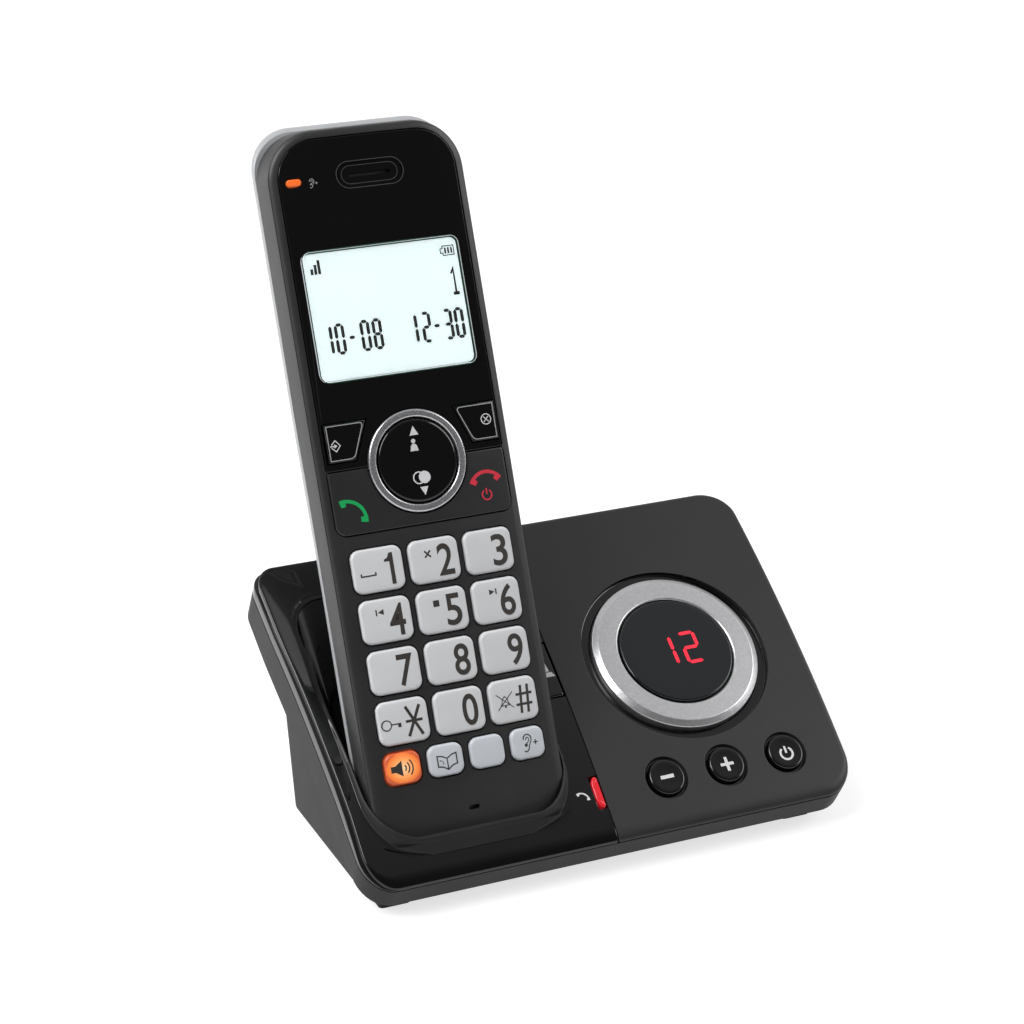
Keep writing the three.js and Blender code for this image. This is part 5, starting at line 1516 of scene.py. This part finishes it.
def painted_centre_glow(name, place, size, stops, emission):
    """A key with painted light: its colour is painted pale in its middle as a glow, and darker towards its edge as
    shade.
    """
    finish, tree = new_finish(name)
    shader = set_inputs(tree.nodes["Principled BSDF"], Roughness=0.35, Emission_Strength=emission)
    local = local_coordinates(tree, place)
    scaled = add_node(tree, "ShaderNodeVectorMath", "MULTIPLY")
    scaled.inputs[1].default_value = (2000.0 / size[0], 2000.0 / size[1], 0.0)
    reach = add_node(tree, "ShaderNodeVectorMath", "LENGTH")
    ramp = add_node(tree, "ShaderNodeValToRGB")
    colour_stops(ramp, stops)
    wire(tree, (local, "Vector", scaled, 0), (scaled, "Vector", reach, 0), (reach, "Value", ramp, "Fac"),
         (ramp, "Color", shader, "Base Color"), (ramp, "Color", shader, "Emission Color"))
    return finish


def lit(name, color, strength, roughness=0.4):
    """A lit surface, very slightly uneven."""
    finish = plastic(name, color, roughness, vary=0.03, mottle=0.02, shade_scale=120.0)
    tree = finish.node_tree
    shader = set_inputs(tree.nodes["Principled BSDF"], Emission_Strength=strength)
    tint = next(node for node in tree.nodes if node.type == "VALTORGB")
    wire(tree, (tint, "Color", shader, "Emission Color"))
    return finish


def clear_window(name):
    """Clear acrylic with the faintest haze."""
    finish = plastic(name, (0.96, 0.98, 0.98), 0.03, vary=0.01, mottle=0.01)
    set_inputs(finish.node_tree.nodes["Principled BSDF"], Transmission_Weight=1.0, IOR=1.45)
    return finish


satin_black = plastic("satin black", linear(33, 33, 34), 0.44, 0.3, specular=0.4)
# The band's satin black, made darker than the top's as painted shade
band_black_painted_shade = plastic("satin black band darkened as painted shade", linear(22, 22, 23), 0.5, 0.3, specular=0.22)
gloss_black = plastic("gloss black", linear(9, 9, 10), 0.08, vary=0.02)
recess_black = plastic("gloss black recess", linear(7, 7, 8), 0.12, vary=0.02)
handset_black = plastic("handset satin black", linear(33, 33, 34), 0.42, 0.22)
call_black = plastic("call plate satin black", linear(38, 38, 39), 0.33, 0.15)
silver_grey = plastic("silver grey shell", linear(158, 160, 162), 0.34, 0.2)
key_white = plastic("off-white key", linear(205, 206, 208), 0.35, 0.08, mottle=0.015)
key_grey = plastic("pale blue grey key", linear(196, 200, 206), 0.35, 0.08, mottle=0.02)
dial_silver = turned_metal("turned silver dial", linear(196, 196, 198), 0.32, dial_frame)
rocker_silver = turned_metal("turned silver bezel", linear(186, 186, 189), 0.28, rocker_frame)
smoked = plastic("smoked lens", linear(13, 16, 19), 0.06, vary=0.02)
rubber = plastic("black rubber", linear(25, 25, 26), 0.8, 0.5, 2000.0)
silicone = plastic("grey silicone", linear(140, 143, 147), 0.7, 0.2)
board_green = plastic("circuit board", linear(40, 90, 60), 0.5, 0.1)
plated = plastic("plated contact", linear(205, 190, 140), 0.25, metallic=1.0)
sleeve = plastic("cell sleeve", linear(60, 125, 90), 0.35)
steel = plastic("speaker steel", linear(120, 123, 126), 0.35, metallic=0.9)
display_light = lit("lit display", linear(235, 247, 248), 0.62)
clear = clear_window("clear window")
red_lens = lit("red lens", linear(199, 29, 40), 0.25, 0.18)
orange_lens = lit("orange lens", linear(234, 106, 43), 0.3, 0.2)
# The orange key's colours: pale in the middle as a painted glow, darker at the edge as painted shade
PAINTED_GLOW_STOPS = ((0.0, linear(246, 205, 158)), (0.55, linear(250, 160, 92)), (0.9, linear(235, 118, 52)),
        (1.0, linear(190, 84, 48)))
orange_place = KEY_PLACES["speaker_key"]
orange_key = painted_centre_glow("lit orange key", face_frame(*orange_place[:2]), orange_place[2:], PAINTED_GLOW_STOPS, 0.25)

dark_print = plastic("dark print", linear(46, 42, 39), 0.5, vary=0.03)
light_print = plastic("light print", linear(205, 205, 207), 0.5, vary=0.03, mottle=0.03)
line_print = plastic("grey line print", linear(150, 151, 153), 0.45, vary=0.03, mottle=0.05)
# Grey lines on the ear dish's edges, as painted highlights
ear_edge_highlight = plastic("painted highlight line", linear(66, 66, 67), 0.4, vary=0.03, mottle=0.05)
green_print = plastic("green print", linear(0, 158, 82), 0.5, vary=0.03, mottle=0.03)
red_print = plastic("red print", linear(205, 36, 58), 0.5, vary=0.03, mottle=0.03)
counter_red = lit("lit red figure", linear(232, 30, 52), 0.8, 0.3)
collar_black = plastic("satin black collar", linear(30, 30, 31), 0.5, 0.2, specular=0.3)


def in_recess(point):
    """Whether a point in the dial's frame is on the wall or the floor of its recess."""
    return math.hypot(point.x, point.y) < DIAL_RECESS + 0.2 and -3.0 < point.z < -0.9


def on_collar(point):
    """Whether a point is on the lip round the handset's foot."""
    across, reach = abs(point.x - HANDSET_ACROSS), point.y
    if across > MOUTH_HALF + LIP_SKIRT + GAP or not WELL_FRONT - 2.2 < reach < LIP_REACH:
        return False
    return point.z - top_height(reach) > 0.05


def key_look(name):
    """The slot and the finish of a key of the handset's field."""
    if name.startswith("key_"):
        return "white_key", key_white
    return ("orange_key", orange_key) if name == "speaker_key" else ("grey_key", key_grey)


# Base pieces
top_piece = dress(make_top_housing(), "base", "satin_black", satin_black, "top_housing")
patch(top_piece, recess_black, dial_frame, in_recess)
# The band wears the darker satin black of painted shade
dress(make_bottom_housing(), "base", "satin_black", band_black_painted_shade, "bottom_housing")
cover_piece = dress(make_cradle_cover(), "base", "gloss_black", gloss_black, "cradle_cover")
patch(cover_piece, collar_black, BASE, on_collar)
for name, x, y in FOOT_PLACES:
    dress(make_foot(name, x, y), "base", "rubber", rubber, name)
dress(make_dial_ring(), "dial_ring", "silver", dial_silver, "dial_ring")
dress(make_dial_lens(), "base", "smoked_lens", smoked, "dial_lens")
for name, spot in key_frames.items():
    dress(make_round_key(name, spot), name, "satin_black", gloss_black, name)
dress(make_page_key(), "page_key", "gloss_black", gloss_black, "page_key")
dress(make_message_lamp(), "base", "red_lens", red_lens, "message_lamp")

# Handset pieces
dress(make_front_housing(), "handset", "handset_black", handset_black, "front_housing")
dress(make_rear_housing(), "handset", "silver_grey", silver_grey, "rear_housing")
dress(make_battery_door(), "battery_door", "silver_grey", silver_grey, "battery_door")
dress(make_face_panel(), "handset", "gloss_black", gloss_black, "face_panel")
dress(make_call_plate(), "call_plate", "satin_black", call_black, "call_plate")
dress(make_soft_key("ok_cap", -1), "ok_key", "gloss_black", gloss_black, "ok_key")
dress(make_soft_key("clear_cap", 1), "clear_key", "gloss_black", gloss_black, "clear_key")
dress(make_rocker_ring(), "handset", "silver", rocker_silver, "rocker_ring")
dress(make_nav_rocker(), "nav_rocker", "gloss_black", gloss_black, "nav_rocker")
dress(make_display_lens(), "handset", "clear_lens", clear, "display_lens")
dress(make_display_module(), "handset", "display", display_light, "display_module")
dress(make_call_lamp(), "handset", "orange_lens", orange_lens, "call_lamp")

for name, (x, y, width, height) in KEY_PLACES.items():
    dress(make_key(name + "_cap", width, height, face_frame(x, y)), name, *key_look(name), name)

# Signs and figures, each on the piece that carries it
key_flats = {name: number_sign(name) + key_sign(name) for name in KEY_PLACES if name.startswith("key_")}
key_flats.update(speaker_key=loudspeaker_sign(), phonebook_key=book_sign(), boost_key=ear_sign())
for name, flats in key_flats.items():
    spot = face_frame(*KEY_PLACES[name][:2])
    dress(raised(name + "_print", flats, spot, KEY_PRINT), name, "handset_black", dark_print)

call_print = moved(handset_sign(), 0.0, 0.0, -42.0)
dress(raised("call_sign", call_print, face_frame(-17.0, 82.9), CALL_RISE), "call_plate", "white_key", green_print)
end_print = moved(handset_sign(), 0.0, 0.9, 4.0) + moved(power_sign(), -0.1, -4.1)
dress(raised("end_sign", end_print, face_frame(16.6, 84.9), CALL_RISE), "call_plate", "red_lens", red_print)

for body, side, flats in (("ok_key", -1, moved(diamond_sign(), -19.8, 97.95)),
                          ("clear_key", 1, moved(crossed_sign(), 19.4, 99.0))):
    dress(raised(body + "_line", soft_outline(side), HANDSET, soft_top), body, "silver", line_print)
    dress(raised(body + "_sign", flats, HANDSET, soft_top), body, "white_key", light_print)

dress(raised("rocker_signs", rocker_signs(), rocker_frame, rocker_level), "nav_rocker", "white_key", light_print)
head_print = moved(ear_sign(), 0.0, 0.0, 0.0, 0.52)
dress(raised("head_sign", head_print, face_frame(-14.7, 160.9)), "handset", "silver", line_print)
ear_place = HANDSET @ Matrix.Translation((0.0, EAR_HEIGHT, 0.0))
# Painted highlight lines along the outer and inner edges of the ear dish
for name, level, wider, higher, line in (
        ("ear_line", 0.0, 0.5, 0.5, 0.16), ("ear_inner_line", -EAR_DISH, -2.4, -1.6, 0.14)):
    ear_highlight = capsule_line(EAR_SIZE[0] + wider, EAR_SIZE[1] + higher, line)
    dress(raised(name, ear_highlight, ear_place, level), "handset", "handset_black", ear_edge_highlight)
display_print = raised("display_signs", display_signs(), HANDSET, DISPLAY_FACE, 0.03, 0.05)
dress(display_print, "handset", "handset_black", dark_print)
counter_print = raised("counter_figures", counter_figures(), dial_frame, DIAL_LENS_TOP, 0.02, 0.05)
dress(counter_print, "base", "red_lens", counter_red)

for body, flats in (
        ("volume_down_key", strokes(0.95, (-1.8, 0.0, 1.8, 0.0))),
        ("volume_up_key", strokes(0.8, (-1.8, 0.0, 1.8, 0.0), (0.0, -1.9, 0.0, 1.9))),
        ("power_key", moved(power_sign(1.65, 0.55), 0.0, -0.5))):
    dress(raised(body + "_sign", flats, key_frames[body], ROUND_KEY_FACE), body, "white_key", light_print)
lamp_print = moved(handset_sign(), 0.0, 0.0, -34.0, 0.44)
dress(raised("lamp_sign", lamp_print, surface_frame(-5.2, 10.0)), "base", "white_key", light_print)
page_print = area([(-1.9, -2.2), (2.3, -2.2), (1.7, -0.9), (-1.3, -0.9)])
page_print += area([(-1.0, -0.6), (1.2, -0.6), (0.7, 2.4), (-0.9, 2.4)])
page_spot = surface_frame((PAGE_BOX[0] + PAGE_BOX[1]) / 2, (PAGE_BOX[2] + PAGE_BOX[3]) / 2)
dress(raised("page_sign", page_print, page_spot, PAGE_RISE), "page_key", "white_key", light_print)

carried = (
    (display_light, ("counter_display",)),
    (satin_black, ("line_jack", "power_inlet")),
    (steel, ("base_speaker", "earpiece", "ringer", "microphone")),
    (board_green, ("base_board", "handset_board")),
    (silicone, ("key_mat", "dial_pad", "base_key_pad")),
    (sleeve, ("battery_cell_left", "battery_cell_right")),
    (plated, ("charge_contact_left", "charge_contact_right", "handset_contact_left", "handset_contact_right")),
)
for name, finish in ((name, finish) for finish, names in carried for name in names):
    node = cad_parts[name]
    if not node.material_slots:
        node.data.materials.append(finish)
    for slot in node.material_slots:
        slot.link = "OBJECT"
        slot.material = finish


# Studio

def stage_plane(name, size, place, finish):
    half = size / 2
    mesh = bpy.data.meshes.new(name)
    corners = [(-half, -half, 0), (half, -half, 0), (half, half, 0), (-half, half, 0)]
    mesh.from_pydata([place @ Vector(c) for c in corners], [], [(0, 1, 2, 3)])
    mesh.materials.append(finish)
    new_object(name, mesh)


def seen_share(tree):
    """1 on rays that show the background: straight from the camera, mirrored or through glass."""
    path = add_node(tree, "ShaderNodeLightPath")
    first = add_node(tree, "ShaderNodeMath", "MAXIMUM")
    second = add_node(tree, "ShaderNodeMath", "MAXIMUM")
    wire(tree, (path, "Is Camera Ray", first, 0), (path, "Is Transmission Ray", first, 1),
         (first, "Value", second, 0), (path, "Is Glossy Ray", second, 1))
    return second


floor_finish, floor_tree = new_finish("white floor")
floor_shader = set_inputs(
    floor_tree.nodes["Principled BSDF"], Base_Color=(0.4, 0.4, 0.4, 1.0), Roughness=0.9, Specular_IOR_Level=0.0,
    Emission_Color=(1.0, 1.0, 1.0, 1.0))
floor_level = add_node(floor_tree, "ShaderNodeMath", "MULTIPLY")
floor_level.inputs[1].default_value = 0.72
wire(floor_tree, (seen_share(floor_tree), "Value", floor_level, 0),
     (floor_level, "Value", floor_shader, "Emission Strength"))
stage_plane("floor", 8.0, Matrix.Identity(4), floor_finish)

world = bpy.data.worlds.new("studio")
bpy.context.scene.world = world
world.use_nodes = True
room_tree = world.node_tree
room_light = set_inputs(room_tree.nodes["Background"], Color=(1.0, 1.0, 1.0, 1.0))
facing = add_node(room_tree, "ShaderNodeTexCoord")
parts = add_node(room_tree, "ShaderNodeSeparateXYZ")
depth_level = add_node(room_tree, "ShaderNodeMapRange", From_Min=-0.75, From_Max=0.25, To_Min=0.08, To_Max=0.75)
depth_level.interpolation_type = "SMOOTHSTEP"
level_mix = add_node(room_tree, "ShaderNodeMix", B=1.0)
room_path = add_node(room_tree, "ShaderNodeLightPath")
wire(room_tree, (facing, "Generated", parts, "Vector"), (parts, "Y", depth_level, "Value"),
     (room_path, "Is Camera Ray", level_mix, "Factor"), (depth_level, "Result", level_mix, "A"),
     (level_mix, "Result", room_light, "Strength"))


def lamp(name, place, aim, size, power):
    light = bpy.data.lights.new(name, "AREA")
    light.shape = "RECTANGLE"
    light.size, light.size_y = size
    light.energy = power
    spot = bpy.data.objects.new(name, light)
    bpy.context.scene.collection.objects.link(spot)
    spot.location = place
    spot.rotation_euler = (Vector(aim) - Vector(place)).to_track_quat("-Z", "Y").to_euler()


lamp("key light", (-0.9, -0.2, 1.2), (0.0, 0.0, 0.05), (0.9, 0.9), 20.0)
lamp("side light", (-1.1, 0.8, 0.45), (0.0, 0.0, 0.07), (0.8, 0.8), 7.0)
lamp("fill light", (1.2, -0.5, 0.9), (0.0, 0.0, 0.08), (0.8, 0.8), 9.0)
